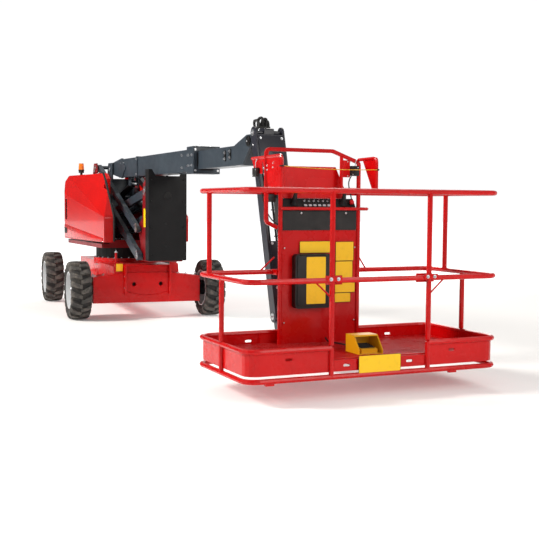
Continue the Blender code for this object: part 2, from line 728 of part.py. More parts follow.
def front_knuckle(turret):
    web = box((KNUCKLE_FRONT - 0.014, -KNUCKLE_INNER - 0.01, KNUCKLE_BOTTOM + 0.01),
              (KNUCKLE_FRONT, KNUCKLE_INNER + 0.01, KNUCKLE_TOP - 0.01))
    sole = box((KNUCKLE_FRONT - 0.275, -KNUCKLE_INNER - 0.01, KNUCKLE_BOTTOM),
               (KNUCKLE_FRONT, KNUCKLE_INNER + 0.01, KNUCKLE_BOTTOM + 0.014))
    base_pin = pin(ARM_CYLINDER_BASE, -0.066, 0.066, 0.018)
    pieces = [web, *both_sides(knuckle_side), sole,
              *cylinder_lugs(ARM_CYLINDER_BASE, KNUCKLE_FRONT - 0.045, 0.050, 0.064), base_pin]
    cuts = [bore(ARM_HEAD, 0.4), bore(TIE_HEAD, 0.4, 0.022), bore(UPPER_FOOT, 0.4),
            bore(UPPER_TIE_FOOT, 0.4, 0.022)]
    part("front_knuckle", "dark_red_paint", pieces, at(ARM_HEAD), turret, cuts)


def knuckle_cover(turret):
    front = KNUCKLE_FRONT + SEAT_GAP
    top = BOOM_AXIS_Z - OUTER_HEIGHT / 2 - 0.015
    ear = 0.135
    outline = [(-COVER_HALF_WIDTH, KNUCKLE_BOTTOM + 0.012), (COVER_HALF_WIDTH, KNUCKLE_BOTTOM + 0.012),
               (COVER_HALF_WIDTH, top + 0.07), (ear + 0.04, top + 0.07), (ear, top), (-ear, top),
               (-ear - 0.04, top + 0.07), (-COVER_HALF_WIDTH, top + 0.07)]
    face = plate(outline, front, front + 0.016, "x")

    def flange(side):
        low, high = side_span(side, COVER_HALF_WIDTH - 0.010, COVER_HALF_WIDTH)
        return [box((front - 0.10, low, KNUCKLE_BOTTOM + 0.012), (front + 0.010, high, top + 0.07))]
    part("knuckle_cover", "black_paint", [face, *both_sides(flange)], at(ARM_HEAD), turret)


def upper_arm(turret):
    along = Vector(UPPER_HEAD) - Vector(UPPER_FOOT)
    eye = Vector(UPPER_FOOT) + along.normalized() * ARM_CYLINDER_ALONG
    brace = Vector(UPPER_FOOT) + along * 0.78

    def stub(side):
        low, high = side_span(side, UPPER_INNER + 0.01, KNUCKLE_INNER + 0.015)
        return [pin(UPPER_FOOT, low, high)]
    pieces = [*pair_of_links(UPPER_FOOT, UPPER_HEAD, UPPER_DEPTH * 0.83, UPPER_INNER, UPPER_SIDE),
              *both_sides(stub),
              pin(UPPER_HEAD, -REAR_KNUCKLE_INNER - 0.015, REAR_KNUCKLE_INNER + 0.015),
              *eye_stubs(tuple(eye), 0.049, UPPER_INNER + 0.01),
              pin(tuple(brace), -UPPER_INNER - 0.01, UPPER_INNER + 0.01, 0.030)]
    part("upper_arm", "grey_paint", pieces, at(UPPER_FOOT), turret)


def upper_tie(turret):
    def stub(side):
        low, high = side_span(side, UPPER_INNER + 0.01, KNUCKLE_INNER + 0.015)
        return [pin(UPPER_TIE_FOOT, low, high, 0.022)]
    brace = Vector(UPPER_TIE_FOOT).lerp(Vector(UPPER_TIE_HEAD), 0.80)
    pieces = [*pair_of_links(UPPER_TIE_FOOT, UPPER_TIE_HEAD, 0.060, UPPER_INNER, 0.030), *both_sides(stub),
              pin(UPPER_TIE_HEAD, -REAR_KNUCKLE_INNER - 0.015, REAR_KNUCKLE_INNER + 0.015, 0.022),
              pin(tuple(brace), -UPPER_INNER - 0.01, UPPER_INNER + 0.01, 0.020)]
    part("upper_tie", "grey_paint", pieces, at(UPPER_TIE_FOOT), turret)


def rear_knuckle(turret):
    def one(side):
        outline = rounded([(-0.315, 0.838), (-0.19, 0.838), (-0.165, 1.22), (-0.10, 1.42), (-0.10, 1.77),
                           (-0.28, 1.77), (-0.325, 1.62), (-0.325, 0.90)], 0.015, 2)
        return [plate(outline, *side_span(side, REAR_KNUCKLE_INNER, REAR_KNUCKLE_INNER + 0.015))]
    web = box((-0.325, -REAR_KNUCKLE_INNER - 0.01, 1.00), (-0.311, REAR_KNUCKLE_INNER + 0.01, 1.58))
    base_pin = pin(BOOM_CYLINDER_BASE, -REAR_KNUCKLE_INNER - 0.01, REAR_KNUCKLE_INNER + 0.01, 0.018)
    cuts = [bore(UPPER_HEAD, 0.3), bore(UPPER_TIE_HEAD, 0.3, 0.022), bore(BOOM_FOOT, 0.3)]
    part("rear_knuckle", "grey_paint", [web, *both_sides(one), base_pin], at(UPPER_HEAD), turret, cuts)


# ---------------------------------------------------------------- cylinders

def barrel(parent, name, base, eye, length, radius, eye_width, pin_radius):
    """Cylinder barrel: an eye on its base pin, a bored tube and an open gland end."""
    direction = (Vector(at(eye)) - Vector(at(base))).normalized()
    start = Vector(at(base))
    shell = rod(start + direction * (pin_radius + 0.008), start + direction * length, radius)
    lug = rod(at(base, -eye_width), at(base, eye_width), pin_radius + 0.016)
    bore_out = rod(start + direction * (pin_radius + 0.06), start + direction * (length + 0.02),
                   CYLINDER_ROD + ROD_CLEARANCE)
    hole = rod(at(base, -0.2), at(base, 0.2), pin_radius + PIN_CLEARANCE)
    part(name, "black_paint", [shell, lug], at(base), parent, [bore_out, hole])


def piston_rod(parent, name, base, eye, tail, eye_width, pin_radius):
    """Piston rod with a solid eye that carries its own short pin."""
    direction = (Vector(at(eye)) - Vector(at(base))).normalized()
    start = Vector(at(eye)) - direction * tail
    shaft = rod(start, Vector(at(eye)) - direction * (pin_radius + 0.004), CYLINDER_ROD)
    lug = rod(at(eye, -eye_width), at(eye, eye_width), pin_radius + 0.010)
    ends = rod(at(eye, -eye_width - 0.002), at(eye, eye_width + 0.002), pin_radius)
    part(name, "chrome", [shaft, lug, ends], at(eye), parent)


def boom_cylinder(turret):
    span = (Vector(BOOM_CYLINDER_EYE) - Vector(BOOM_CYLINDER_BASE)).length
    barrel(turret, "boom_cylinder_barrel", BOOM_CYLINDER_BASE, BOOM_CYLINDER_EYE, span - 0.06,
           CYLINDER_BORE, 0.040, 0.018)
    piston_rod(turret, "boom_cylinder_rod", BOOM_CYLINDER_BASE, BOOM_CYLINDER_EYE, span - 0.10, 0.030, 0.018)


def arm_cylinder(turret):
    along = (Vector(UPPER_HEAD) - Vector(UPPER_FOOT)).normalized()
    eye = tuple(Vector(UPPER_FOOT) + along * ARM_CYLINDER_ALONG)
    span = (Vector(eye) - Vector(ARM_CYLINDER_BASE)).length
    barrel(turret, "arm_cylinder_barrel", ARM_CYLINDER_BASE, eye, span - 0.06, CYLINDER_BORE, 0.040, 0.018)
    piston_rod(turret, "arm_cylinder_rod", ARM_CYLINDER_BASE, eye, span - 0.10, 0.045, 0.018)


# ---------------------------------------------------------------- main boom

def square_tube(x0, x1, width, height, z):
    return box((x0, -width / 2, z - height / 2), (x1, width / 2, z + height / 2))


def boom_outer(turret):
    z = BOOM_AXIS_Z
    shell = square_tube(BOOM_REAR, COLLAR_FRONT - 0.01, OUTER_WIDTH, OUTER_HEIGHT, z)
    collar = square_tube(COLLAR_REAR, COLLAR_FRONT, OUTER_WIDTH + 2 * COLLAR_LIP,
                         OUTER_HEIGHT + 2 * COLLAR_LIP, z)
    band = square_tube(0.84, 0.88, OUTER_WIDTH + 0.02, OUTER_HEIGHT + 0.016, z)

    def foot(side):
        outline = rounded([(BOOM_FOOT[0] - 0.06, BOOM_FOOT[1] - 0.06), (0.25, z - OUTER_HEIGHT / 2 - 0.012),
                           (0.40, z), (0.25, z + OUTER_HEIGHT / 2 + 0.012), (BOOM_FOOT[0] - 0.06,
                                                                             BOOM_FOOT[1] + 0.06)], 0.02, 3)
        return [plate(outline, *side_span(side, OUTER_WIDTH / 2 - 0.012, OUTER_WIDTH / 2 + 0.008))]

    def lug(side):
        x, low = BOOM_CYLINDER_EYE
        top = z - OUTER_HEIGHT / 2 + 0.01
        outline = [(x - 0.06, top), (x - 0.035, low - 0.028), (x + 0.035, low - 0.028), (x + 0.08, top)]
        return [plate(outline, *side_span(side, 0.038, 0.050))]
    pieces = [shell, collar, band, *both_sides(foot), *both_sides(lug),
              pin(BOOM_FOOT, -REAR_KNUCKLE_INNER - 0.015, REAR_KNUCKLE_INNER + 0.015),
              *eye_stubs(BOOM_CYLINDER_EYE, 0.036, 0.052)]
    cavity = square_tube(BOOM_REAR + 0.012, COLLAR_REAR + 0.08, OUTER_WIDTH - 2 * BOOM_WALL,
                         OUTER_HEIGHT - 2 * BOOM_WALL, z)
    mouth = square_tube(COLLAR_REAR, COLLAR_FRONT + 0.1, INNER_WIDTH + 2 * PAD_CLEARANCE,
                        INNER_HEIGHT + 2 * PAD_CLEARANCE, z)
    part("boom_outer", "grey_paint", pieces, at(BOOM_FOOT), turret, [cavity, mouth])


def boom_inner(turret):
    z = BOOM_AXIS_Z
    shell = square_tube(INNER_REAR, INNER_FRONT, INNER_WIDTH, INNER_HEIGHT, z)

    def cheek(side):
        x, top = NOSE_PIVOT
        rear = INNER_FRONT - 0.17
        outline = rounded([(rear, z - INNER_HEIGHT / 2), (INNER_FRONT + 0.01, z - INNER_HEIGHT / 2),
                           (x + 0.055, top - 0.02), (x + 0.045, top + 0.055), (x - 0.05, top + 0.055),
                           (rear, z + INNER_HEIGHT / 2)], 0.02, 3)
        return [plate(outline, *side_span(side, INNER_WIDTH / 2 - 0.002,
                                          INNER_WIDTH / 2 - 0.002 + NOSE_SHEET))]
    tail_pads = square_tube(INNER_REAR, INNER_REAR + 0.09, OUTER_WIDTH - 2 * (BOOM_WALL + PAD_CLEARANCE),
                            OUTER_HEIGHT - 2 * (BOOM_WALL + PAD_CLEARANCE), z)
    reach = INNER_WIDTH / 2 + NOSE_SHEET - 0.003
    pieces = [shell, tail_pads, *both_sides(cheek), pin(NOSE_PIVOT, -reach, reach, 0.022)]
    cavity = square_tube(INNER_REAR - 0.1, INNER_FRONT - NOSE_CUT - 0.02, INNER_WIDTH - 0.02,
                         INNER_HEIGHT - 0.02, z)
    part("boom_inner", "grey_paint", pieces, (INNER_REAR, 0, z), turret, [cavity, nose_bevel()])


def nose_bevel():
    """Piece taken off the tube's lower front corner, between the cheeks, to clear the jib's tie."""
    low = BOOM_AXIS_Z - INNER_HEIGHT / 2
    outline = [(INNER_FRONT - NOSE_CUT, low - 0.02), (INNER_FRONT + 0.02, low - 0.02),
               (INNER_FRONT + 0.02, NOSE_PIVOT[1] - 0.03)]
    half = INNER_WIDTH / 2 - 0.004
    return plate(outline, -half, half)


# ---------------------------------------------------------------- jib

def hose_pad():
    """Flat seat on the jib head for the hose clamp."""
    return box((JIB_TOP[0] - 0.18, -0.044, JIB_TOP[1] - 0.03),
               (JIB_TOP[0] - 0.05, 0.044, JIB_TOP[1] + 0.040))


def jib_hoses(turret):
    """Hoses that arch over the jib head from a clamp and go back down into it."""
    x, foot = JIB_TOP[0] - 0.115, JIB_TOP[1] + 0.040 + SEAT_GAP
    clamp = box((x - 0.062, -0.058, foot), (x + 0.062, 0.050, foot + 0.018))
    pieces = [clamp]
    for y, rise, lean in ((-0.043, 0.070, -0.010), (-0.014, 0.092, 0.002), (0.014, 0.084, 0.010),
                          (0.040, 0.066, -0.004)):
        path = rounded([(x - 0.046, y, foot + 0.009), (x - 0.050, y + lean, foot + rise),
                        (x + 0.046, y + lean, foot + rise), (x + 0.046, y, foot + 0.009)], 0.030, 4, False)
        pieces.append(tube(path, HOSE_RADIUS, fineness=1))
    part("jib_hoses", "black_plastic", pieces, (x, 0, foot), turret)


def jib_head(turret):
    outline = rounded([(NOSE_PIVOT[0] - 0.045, NOSE_PIVOT[1] - 0.045),
                       (JIB_TIE_TOP[0] - 0.04, JIB_TIE_TOP[1] - 0.04),
                       (JIB_TIE_TOP[0] + 0.04, JIB_TIE_TOP[1] - 0.04), (JIB_TOP[0] + 0.034,
                                                                        JIB_TOP[1] - 0.03),
                       (JIB_TOP[0] + 0.034, JIB_TOP[1] + 0.038), (JIB_TOP[0] - 0.05, JIB_TOP[1] + 0.038),
                       (NOSE_PIVOT[0] - 0.045, NOSE_PIVOT[1] + 0.045)], 0.012, 2)
    pieces = [plate(outline, -0.044, 0.044), hose_pad(),
              pin(JIB_TOP, -JIB_INNER - JIB_SIDE, JIB_INNER + JIB_SIDE, 0.020), pin(JIB_TIE_TOP, -0.0822,
                                                                                    0.0822, 0.018)]
    part("jib_head", "grey_paint", pieces, at(NOSE_PIVOT), turret, [bore(NOSE_PIVOT, 0.2, 0.022)])


def jib_arm(turret):
    """Front jib arm: two side channels tied by a cover at the top and a web below."""
    along = (Vector(JIB_FOOT) - Vector(JIB_TOP)).normalized()
    across = Vector((-along.y, along.x))
    top = Vector(JIB_TOP)

    def web(first, last):
        corners = [top + along * first + across * 0.042, top + along * last + across * 0.042,
                   top + along * last + across * 0.054, top + along * first + across * 0.054]
        return plate([tuple(corner) for corner in corners], -JIB_INNER - 0.004, JIB_INNER + 0.004)
    length = (Vector(JIB_FOOT) - top).length
    pieces = [web(0.03, 0.36), web(length - 0.55, length - 0.12),
              *pair_of_links(JIB_TOP, JIB_FOOT, JIB_DEPTH, JIB_INNER, JIB_SIDE)]
    cuts = [bore(JIB_TOP, 0.3, 0.020), bore(JIB_FOOT, 0.3, 0.020)]
    part("jib_arm", "grey_paint", pieces, at(JIB_TOP), turret, cuts)


def jib_tie(turret):
    brace = Vector(JIB_TIE_TOP).lerp(Vector(JIB_TIE_FOOT), 0.5)
    pieces = [*pair_of_links(JIB_TIE_TOP, JIB_TIE_FOOT, JIB_TIE_DEPTH, 0.052, 0.028),
              pin(tuple(brace), -0.06, 0.06, 0.016)]
    cuts = [bore(JIB_TIE_TOP, 0.3, 0.018), bore(JIB_TIE_FOOT, 0.3, 0.018)]
    part("jib_tie", "grey_paint", pieces, at(JIB_TIE_TOP), turret, cuts)


def platform_support(turret):
    """Bracket at the jib's foot, with the fixed half of the platform swivel."""
    outline = rounded([(JIB_TIE_FOOT[0] - 0.035, JIB_TIE_FOOT[1] - 0.035),
                       (JIB_TIE_FOOT[0] + 0.06, JIB_TIE_FOOT[1] - 0.035),
                       (SWIVEL_X - 0.05, SWIVEL_Z - 0.07), (SWIVEL_X - 0.05, SWIVEL_Z + 0.06),
                       (JIB_FOOT[0] + 0.045, JIB_FOOT[1] + 0.02),
                       (JIB_FOOT[0] + 0.02, JIB_FOOT[1] + 0.045), (JIB_FOOT[0] - 0.045,
                                                                   JIB_FOOT[1] + 0.045)], 0.008, 3)
    pieces = [plate(outline, -0.044, 0.044), pin(JIB_FOOT, -JIB_INNER - JIB_SIDE, JIB_INNER + JIB_SIDE,
                                                 0.020),
              pin(JIB_TIE_FOOT, -0.082, 0.082, 0.018),
              rod((SWIVEL_X, 0, SWIVEL_Z - 0.10), (SWIVEL_X, 0, SWIVEL_Z + 0.10), 0.075, 24)]
    part("platform_support", "grey_paint", pieces, at(JIB_FOOT), turret)


# ---------------------------------------------------------------- platform

def basket_plan(inset=0.0, corner=BASKET_CORNER):
    """Rounded rectangle of the basket in plan."""
    x0, x1 = BASKET_REAR + inset, BASKET_REAR + BASKET_LENGTH - inset
    y = BASKET_HALF_WIDTH - inset
    return rounded([(x0, -y), (x1, -y), (x1, y), (x0, y)], corner - inset, 4)


def ring_path(z):
    return [(*point, z) for point in basket_plan()]


def broken_path(z):
    """Rail round the basket that stops at the two entry posts."""
    x0, x1 = BASKET_REAR, BASKET_REAR + BASKET_LENGTH
    y = BASKET_HALF_WIDTH
    corners = [(x1, ENTRY_LEFT, z), (x1, -y, z), (x0, -y, z), (x0, y, z), (x1, y, z), (x1, ENTRY_RIGHT, z)]
    return rounded(corners, BASKET_CORNER, 4, False)


def swivel_bracket():
    """Turning half of the swivel: two arms above and below the fixed drum, and a beam under the floor."""
    back = BASKET_REAR - 0.022
    top = box((SWIVEL_X - 0.07, -0.07, SWIVEL_Z + 0.10 + SEAT_GAP), (back - 0.01, 0.07, SWIVEL_Z + 0.125))
    bottom = box((SWIVEL_X - 0.07, -0.07, SWIVEL_Z - 0.125), (BASKET_REAR + 0.60, 0.07,
                                                              SWIVEL_Z - 0.10 - SEAT_GAP))
    post = box((back - 0.038, -0.08, SWIVEL_Z - 0.128), (back + 0.026, 0.08, SWIVEL_Z + 0.128))
    floor_rib = box((back + 0.01, -0.05, SWIVEL_Z - 0.113), (BASKET_REAR + 0.58, 0.05, FLOOR_Z - 0.004))
    return [top, bottom, post, floor_rib]


def toe_wall():
    """Thin wall that follows the basket's outline, from just above the bottom tube to the toe tube."""
    wall = plate(basket_plan(WALL_INSET), WALL_BOTTOM, TOE_RAIL_Z - 0.006, "z")
    boolean(wall, "DIFFERENCE", plate(basket_plan(WALL_INSET + WALL_SHEET), WALL_BOTTOM - 0.1,
                                      TOE_RAIL_Z + 0.1, "z"))
    x1 = BASKET_REAR + BASKET_LENGTH
    boolean(wall, "DIFFERENCE", box((x1 - 0.05, ENTRY_LEFT, FLOOR_Z - 0.001),
                                    (x1 + 0.05, ENTRY_RIGHT, TOE_RAIL_Z + 0.05)))
    return wall


def low_posts():
    """Lengths of post between the bottom tube and the toe tube."""
    x0, x1 = BASKET_REAR, BASKET_REAR + BASKET_LENGTH
    y = BASKET_HALF_WIDTH
    feet = [(x1, ENTRY_LEFT), (x1, ENTRY_RIGHT), (x0 + POST_LOWER_X, -y), (x0 + POST_LOWER_X, y),
            (x0, -0.5), (x0, 0.5)]
    return [rod((x, side_y, BOTTOM_RAIL_Z - 0.003), (x, side_y, TOE_RAIL_Z + 0.003), RAIL_RADIUS - 0.0007, 8)
            for x, side_y in feet]


def skid(y):
    x1 = BASKET_REAR + BASKET_LENGTH
    low = BOTTOM_RAIL_Z - RAIL_RADIUS
    return box((x1 - 0.012, y - 0.03, low - 0.010), (x1 + 0.012, y + 0.03, low + 0.004))


def slot_hole(x, y, z):
    """Drain slot through a front or rear wall."""
    shape = [(y - 0.026, z - 0.009), (y + 0.026, z - 0.009), (y + 0.026, z + 0.009), (y - 0.026, z + 0.009)]
    return plate(rounded(shape, 0.008, 2), x - 0.03, x + 0.03, "x")


def platform_tray(turret):
    floor = plate(basket_plan(WALL_INSET + WALL_SHEET / 2), FLOOR_Z - FLOOR_PLATE, FLOOR_Z, "z")
    rims = [tube(ring_path(BOTTOM_RAIL_Z), RAIL_RADIUS, True), tube(broken_path(TOE_RAIL_Z), RAIL_RADIUS)]
    pieces = [floor, toe_wall(), *rims, *low_posts(), *swivel_bracket(), skid(-0.80), skid(0.58)]
    x0, x1 = BASKET_REAR, BASKET_REAR + BASKET_LENGTH
    slots = [slot_hole(x1, -0.66, 0.285), slot_hole(x1, 0.58, 0.285), slot_hole(x1, -0.24, 0.225),
             slot_hole(x1, 0.24, 0.225), slot_hole(x0, -0.58, 0.29), slot_hole(x0, 0.58, 0.29)]
    part("platform_tray", "red_paint", pieces, (SWIVEL_X, 0, SWIVEL_Z), turret, slots)


def platform_rails(turret):
    x0, x1 = BASKET_REAR, BASKET_REAR + BASKET_LENGTH
    y = BASKET_HALF_WIDTH
    foot = TOE_RAIL_Z + RAIL_RADIUS + SEAT_GAP
    rails = [tube(ring_path(TOP_RAIL_Z), RAIL_RADIUS, True), tube(broken_path(MID_RAIL_Z), RAIL_RADIUS)]
    for post_y, inwards in ((ENTRY_LEFT, 1), (ENTRY_RIGHT, -1)):
        rails.append(rod((x1, post_y, foot), (x1, post_y, TOP_RAIL_Z), RAIL_RADIUS, 8))
        rails.append(rod((x1, post_y, MID_RAIL_Z - 0.115), (x1, post_y - inwards * 0.13, MID_RAIL_Z),
                         BRACE_RADIUS, 6))
        rails += entry_bracket(post_y, inwards)
    for side in (-1, 1):
        rails.append(rod((x0 + POST_UPPER_X, side * y, MID_RAIL_Z),
                         (x0 + POST_UPPER_X, side * y, TOP_RAIL_Z),
                         RAIL_RADIUS, 8))
        rails.append(rod((x0 + POST_LOWER_X, side * y, foot), (x0 + POST_LOWER_X, side * y, MID_RAIL_Z),
                         RAIL_RADIUS, 8))
        rails += [column_clip(side, z) for z in (MID_RAIL_Z, TOP_RAIL_Z)]
        rails.append(rear_brace(side))
    part("platform_rails", "red_paint", rails, (SWIVEL_X, 0, SWIVEL_Z), turret, [entry_pivot(0.0008, 0.1)])


def column_edge(side):
    return COLUMN_Y + side * COLUMN_HALF_WIDTH


def column_clip(side, z):
    """Block that fixes a rear rail to the column's side tube."""
    y = column_edge(side)
    x = BASKET_REAR
    return box((x, y - 0.02, z - 0.02), (x + COLUMN_X - COLUMN_TUBE - SEAT_GAP, y + 0.02, z + 0.02))


def rear_brace(side):
    """Slanting stay from the rear middle rail up to the column clip's height beside the column."""
    y = column_edge(side) + side * (COLUMN_TUBE + 0.010)
    x = BASKET_REAR
    return rod((x, y + side * 0.10, MID_RAIL_Z), (x + 0.05, y, MID_RAIL_Z + 0.11), BRACE_RADIUS, 6)


def entry_bracket(post_y, inwards):
    """Clamp on a front post, with a plate that reaches behind the end of the entry bar."""
    x1 = BASKET_REAR + BASKET_LENGTH
    back = x1 - RAIL_RADIUS - SEAT_GAP
    low, high = sorted((post_y - inwards * 0.035, post_y + inwards * 0.085))
    clamp_low, clamp_high = sorted((post_y - inwards * 0.032, post_y + inwards * 0.016))
    return [box((back - 0.010, low, MID_RAIL_Z - 0.030), (back, high, MID_RAIL_Z + 0.030)),
            box((back - 0.005, clamp_low, MID_RAIL_Z - 0.026), (x1 + 0.012, clamp_high, MID_RAIL_Z + 0.026))]


def entry_pivot(clearance, reach):
    x1 = BASKET_REAR + BASKET_LENGTH
    y = ENTRY_RIGHT - 0.060
    return rod((x1 - reach, y, MID_RAIL_Z), (x1, y, MID_RAIL_Z), 0.008 + clearance, 12)


def entry_gate(turret):
    x1 = BASKET_REAR + BASKET_LENGTH
    clear = RAIL_RADIUS + 0.006
    bar = rod((x1, ENTRY_LEFT + clear, MID_RAIL_Z), (x1, ENTRY_RIGHT - clear, MID_RAIL_Z), RAIL_RADIUS, 8)
    part("entry_bar", "red_paint", [bar, entry_pivot(0.0, 0.034)], (x1, ENTRY_RIGHT - 0.060, MID_RAIL_Z),
         turret)


def column(turret):
    """Upright panel between two tubes, with the hand rail that runs across in front of the console."""
    x = BASKET_REAR + COLUMN_X
    foot = FLOOR_Z + SEAT_GAP
    left, right = column_edge(-1), column_edge(1)
    panel = box((x - 0.012, left, foot), (x, right, CONSOLE_BOTTOM - SEAT_GAP))
    rail_x = x + COLUMN_TUBE + 0.010
    rail = tube(rounded([(rail_x, left - 0.012, HAND_RAIL_Z), (rail_x, right + 0.070, HAND_RAIL_Z),
                         (x - 0.03, right + 0.070, HAND_RAIL_Z)], 0.025, 3, False), HAND_RAIL_RADIUS)
    pieces = [panel, rod((x, left, foot), (x, left, TOP_RAIL_Z), COLUMN_TUBE, 10),
              rod((x, right, foot), (x, right, COLUMN_TOP), COLUMN_TUBE, 10), rail]
    part("control_column", "red_paint", pieces, (SWIVEL_X, 0, SWIVEL_Z), turret)


def console(turret):
    """Control box with a sloping panel and two levers."""
    front, rear = BASKET_REAR + COLUMN_X + 0.006, BASKET_REAR - 0.05
    outline = [(front, CONSOLE_BOTTOM), (front, CONSOLE_FRONT_TOP), (front - 0.055, CONSOLE_TOP),
               (rear, CONSOLE_TOP),
               (rear, CONSOLE_BOTTOM)]
    pieces = [plate(outline, COLUMN_Y - CONSOLE_HALF_WIDTH, COLUMN_Y + CONSOLE_HALF_WIDTH)]
    for y in (COLUMN_Y - 0.20, COLUMN_Y + 0.20):
        pieces.append(rod((front - 0.032, y, 1.270), (front - 0.010, y, 1.330), 0.012, 10))
        pieces.append(rod((front - 0.012, y, 1.322), (front + 0.002, y, 1.366), 0.017, 10, 0.011))
    part("control_console", "black_plastic", pieces, (front, COLUMN_Y, CONSOLE_BOTTOM), turret)


def back_plate(turret):
    """Shield that stands on the console behind the levers."""
    x = BASKET_REAR + RAIL_RADIUS + 0.014
    foot = CONSOLE_TOP + SEAT_GAP
    left, right = COLUMN_Y - 0.292, COLUMN_Y + 0.225
    outline = [(left, foot), (right, foot), (right, 1.40), (right - 0.072, 1.55), (left, 1.55)]
    lip = box((x, left, foot), (x + 0.018, right, foot + 0.006))
    part("console_shield", "red_paint", [plate(outline, x, x + 0.006, "x"), lip], (x, COLUMN_Y, foot), turret)


def hoop():
    """Tube over the operator's side of the console, from one side of the column to the other."""
    x = BASKET_REAR + COLUMN_X
    left, right = column_edge(-1), column_edge(1)
    path = rounded([(x, left - COLUMN_TUBE - 0.010, 1.108), (x, HOOP_LEFT_Y, 1.148),
                    (x, HOOP_LEFT_Y, HOOP_TOP),
                    (x, right - 0.22, HOOP_TOP), (x, right, HOOP_SHOULDER), (x, right,
                                                                             COLUMN_TOP + SEAT_GAP)],
                   0.025, 3, False)
    strut_y = right - 0.145
    return [tube(path, COLUMN_TUBE, fineness=1),
            rod((x, strut_y, 1.385), (x, strut_y, HOOP_TOP - 0.03), COLUMN_TUBE * 0.85, 8),
            box((x - 0.006, strut_y, 1.385), (x + 0.006, right - COLUMN_TUBE - SEAT_GAP, 1.398)),
            box((x - 0.003, strut_y, 1.475), (x + 0.003, strut_y + 0.07, 1.60))]


def hand_guard(y, rear, plate_top, plate_foot):
    """Bent tube that reaches forward from the hoop, with a plate under it that narrows downwards."""
    x = BASKET_REAR + COLUMN_X
    front = x + GUARD_FRONT
    path = rounded([(rear, y, GUARD_TOP), (front, y, GUARD_TOP + 0.004), (front, y, GUARD_BOTTOM)], 0.03, 3,
                   False)
    skin = [(plate_top, GUARD_TOP), (front, GUARD_TOP), (front, GUARD_BOTTOM + 0.004),
            (plate_foot, GUARD_BOTTOM + 0.004)]
    return [tube(path, 0.013, fineness=1), plate(skin, y - 0.003, y + 0.003)]


def guard_frame(turret):
    x = BASKET_REAR + COLUMN_X
    left, right = HOOP_LEFT_Y, column_edge(1)
    switch_plate = [(x - 0.25, GUARD_TOP), (x - 0.07, GUARD_TOP), (x - 0.07, 1.49), (x - 0.20, 1.50)]
    pieces = [*hoop(), *hand_guard(left, x - 0.25, x - 0.075, x + 0.05),
              *hand_guard(right, x, x + 0.06, x + 0.20),
              plate(switch_plate, left - 0.003, left + 0.003)]
    part("guard_frame", "red_paint", pieces, (x, right, COLUMN_TOP), turret)


def foot_switch(turret):
    """Hooded pedal: a bent sheet cover over a low block."""
    x, low, high = BASKET_REAR + 0.55, -0.078, 0.108
    foot = FLOOR_Z + SEAT_GAP
    cover = [(x, foot), (x, foot + 0.125), (x + 0.11, foot + 0.125), (x + 0.19, foot + 0.03),
             (x + 0.19, foot)]
    shell = plate(cover, low, high)
    inner = [(x + 0.008, foot + 0.006), (x + 0.008, foot + 0.115), (x + 0.12, foot + 0.115),
             (x + 0.24, foot + 0.10),
             (x + 0.24, foot + 0.006)]
    pedal = plate([(x + 0.02, foot), (x + 0.02, foot + 0.055), (x + 0.165, foot + 0.035), (x + 0.165, foot)],
                  low + 0.03, high - 0.03)
    boolean(shell, "DIFFERENCE", plate(inner, low + 0.006, high - 0.006))
    part("foot_switch", "yellow_paint", [shell, pedal], (x, 0, FLOOR_Z), turret)


def document_box(turret):
    x = BASKET_REAR + COLUMN_X + SEAT_GAP
    low, high = COLUMN_Y - 0.222, COLUMN_Y + 0.067
    body = plate(rounded([(low, 0.524), (high, 0.524), (high, 0.917), (low, 0.917)], 0.025, 3), x, x + 0.06,
                 "x")
    part("document_box", "black_plastic", [body], (x, 0, 0.524), turret)


def footprint_centre():
    bpy.context.view_layer.update()
    corners = [made.matrix_world @ vertex.co for made in partsCollection.objects if made.type == "MESH"
               for vertex in made.data.vertices]
    return [-(min(c[i] for c in corners) + max(c[i] for c in corners)) / 2 for i in (0, 1)]


def build():
    base = empty("lift_base")
    chassis(base)
    running_gear(base)
    turret = empty("turret_axis", (0, 0, 0), SLEW_REST, base)
    slew_ring(turret)
    turret_frame(turret)
    counterweight(turret)
    hood(turret, -1, "right_hood")
    hood(turret, 1, "left_hood")
    power_pack(turret)
    beacon(turret)
    lower_arm(turret)
    lower_tie(turret)
    front_knuckle(turret)
    knuckle_cover(turret)
    upper_arm(turret)
    upper_tie(turret)
    rear_knuckle(turret)
    boom_cylinder(turret)
    arm_cylinder(turret)
    boom_outer(turret)
    boom_inner(turret)
    jib_head(turret)
    jib_hoses(turret)
    jib_arm(turret)
    jib_tie(turret)
    platform_support(turret)
    platform_tray(turret)
    platform_rails(turret)
    entry_gate(turret)
    column(turret)
    console(turret)
    back_plate(turret)
    guard_frame(turret)
    foot_switch(turret)
    document_box(turret)
    base.location = (*footprint_centre(), 0.0)
    bpy.context.view_layer.update()


build()
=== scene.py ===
import bpy
import bmesh
import math
from mathutils import Matrix, Vector


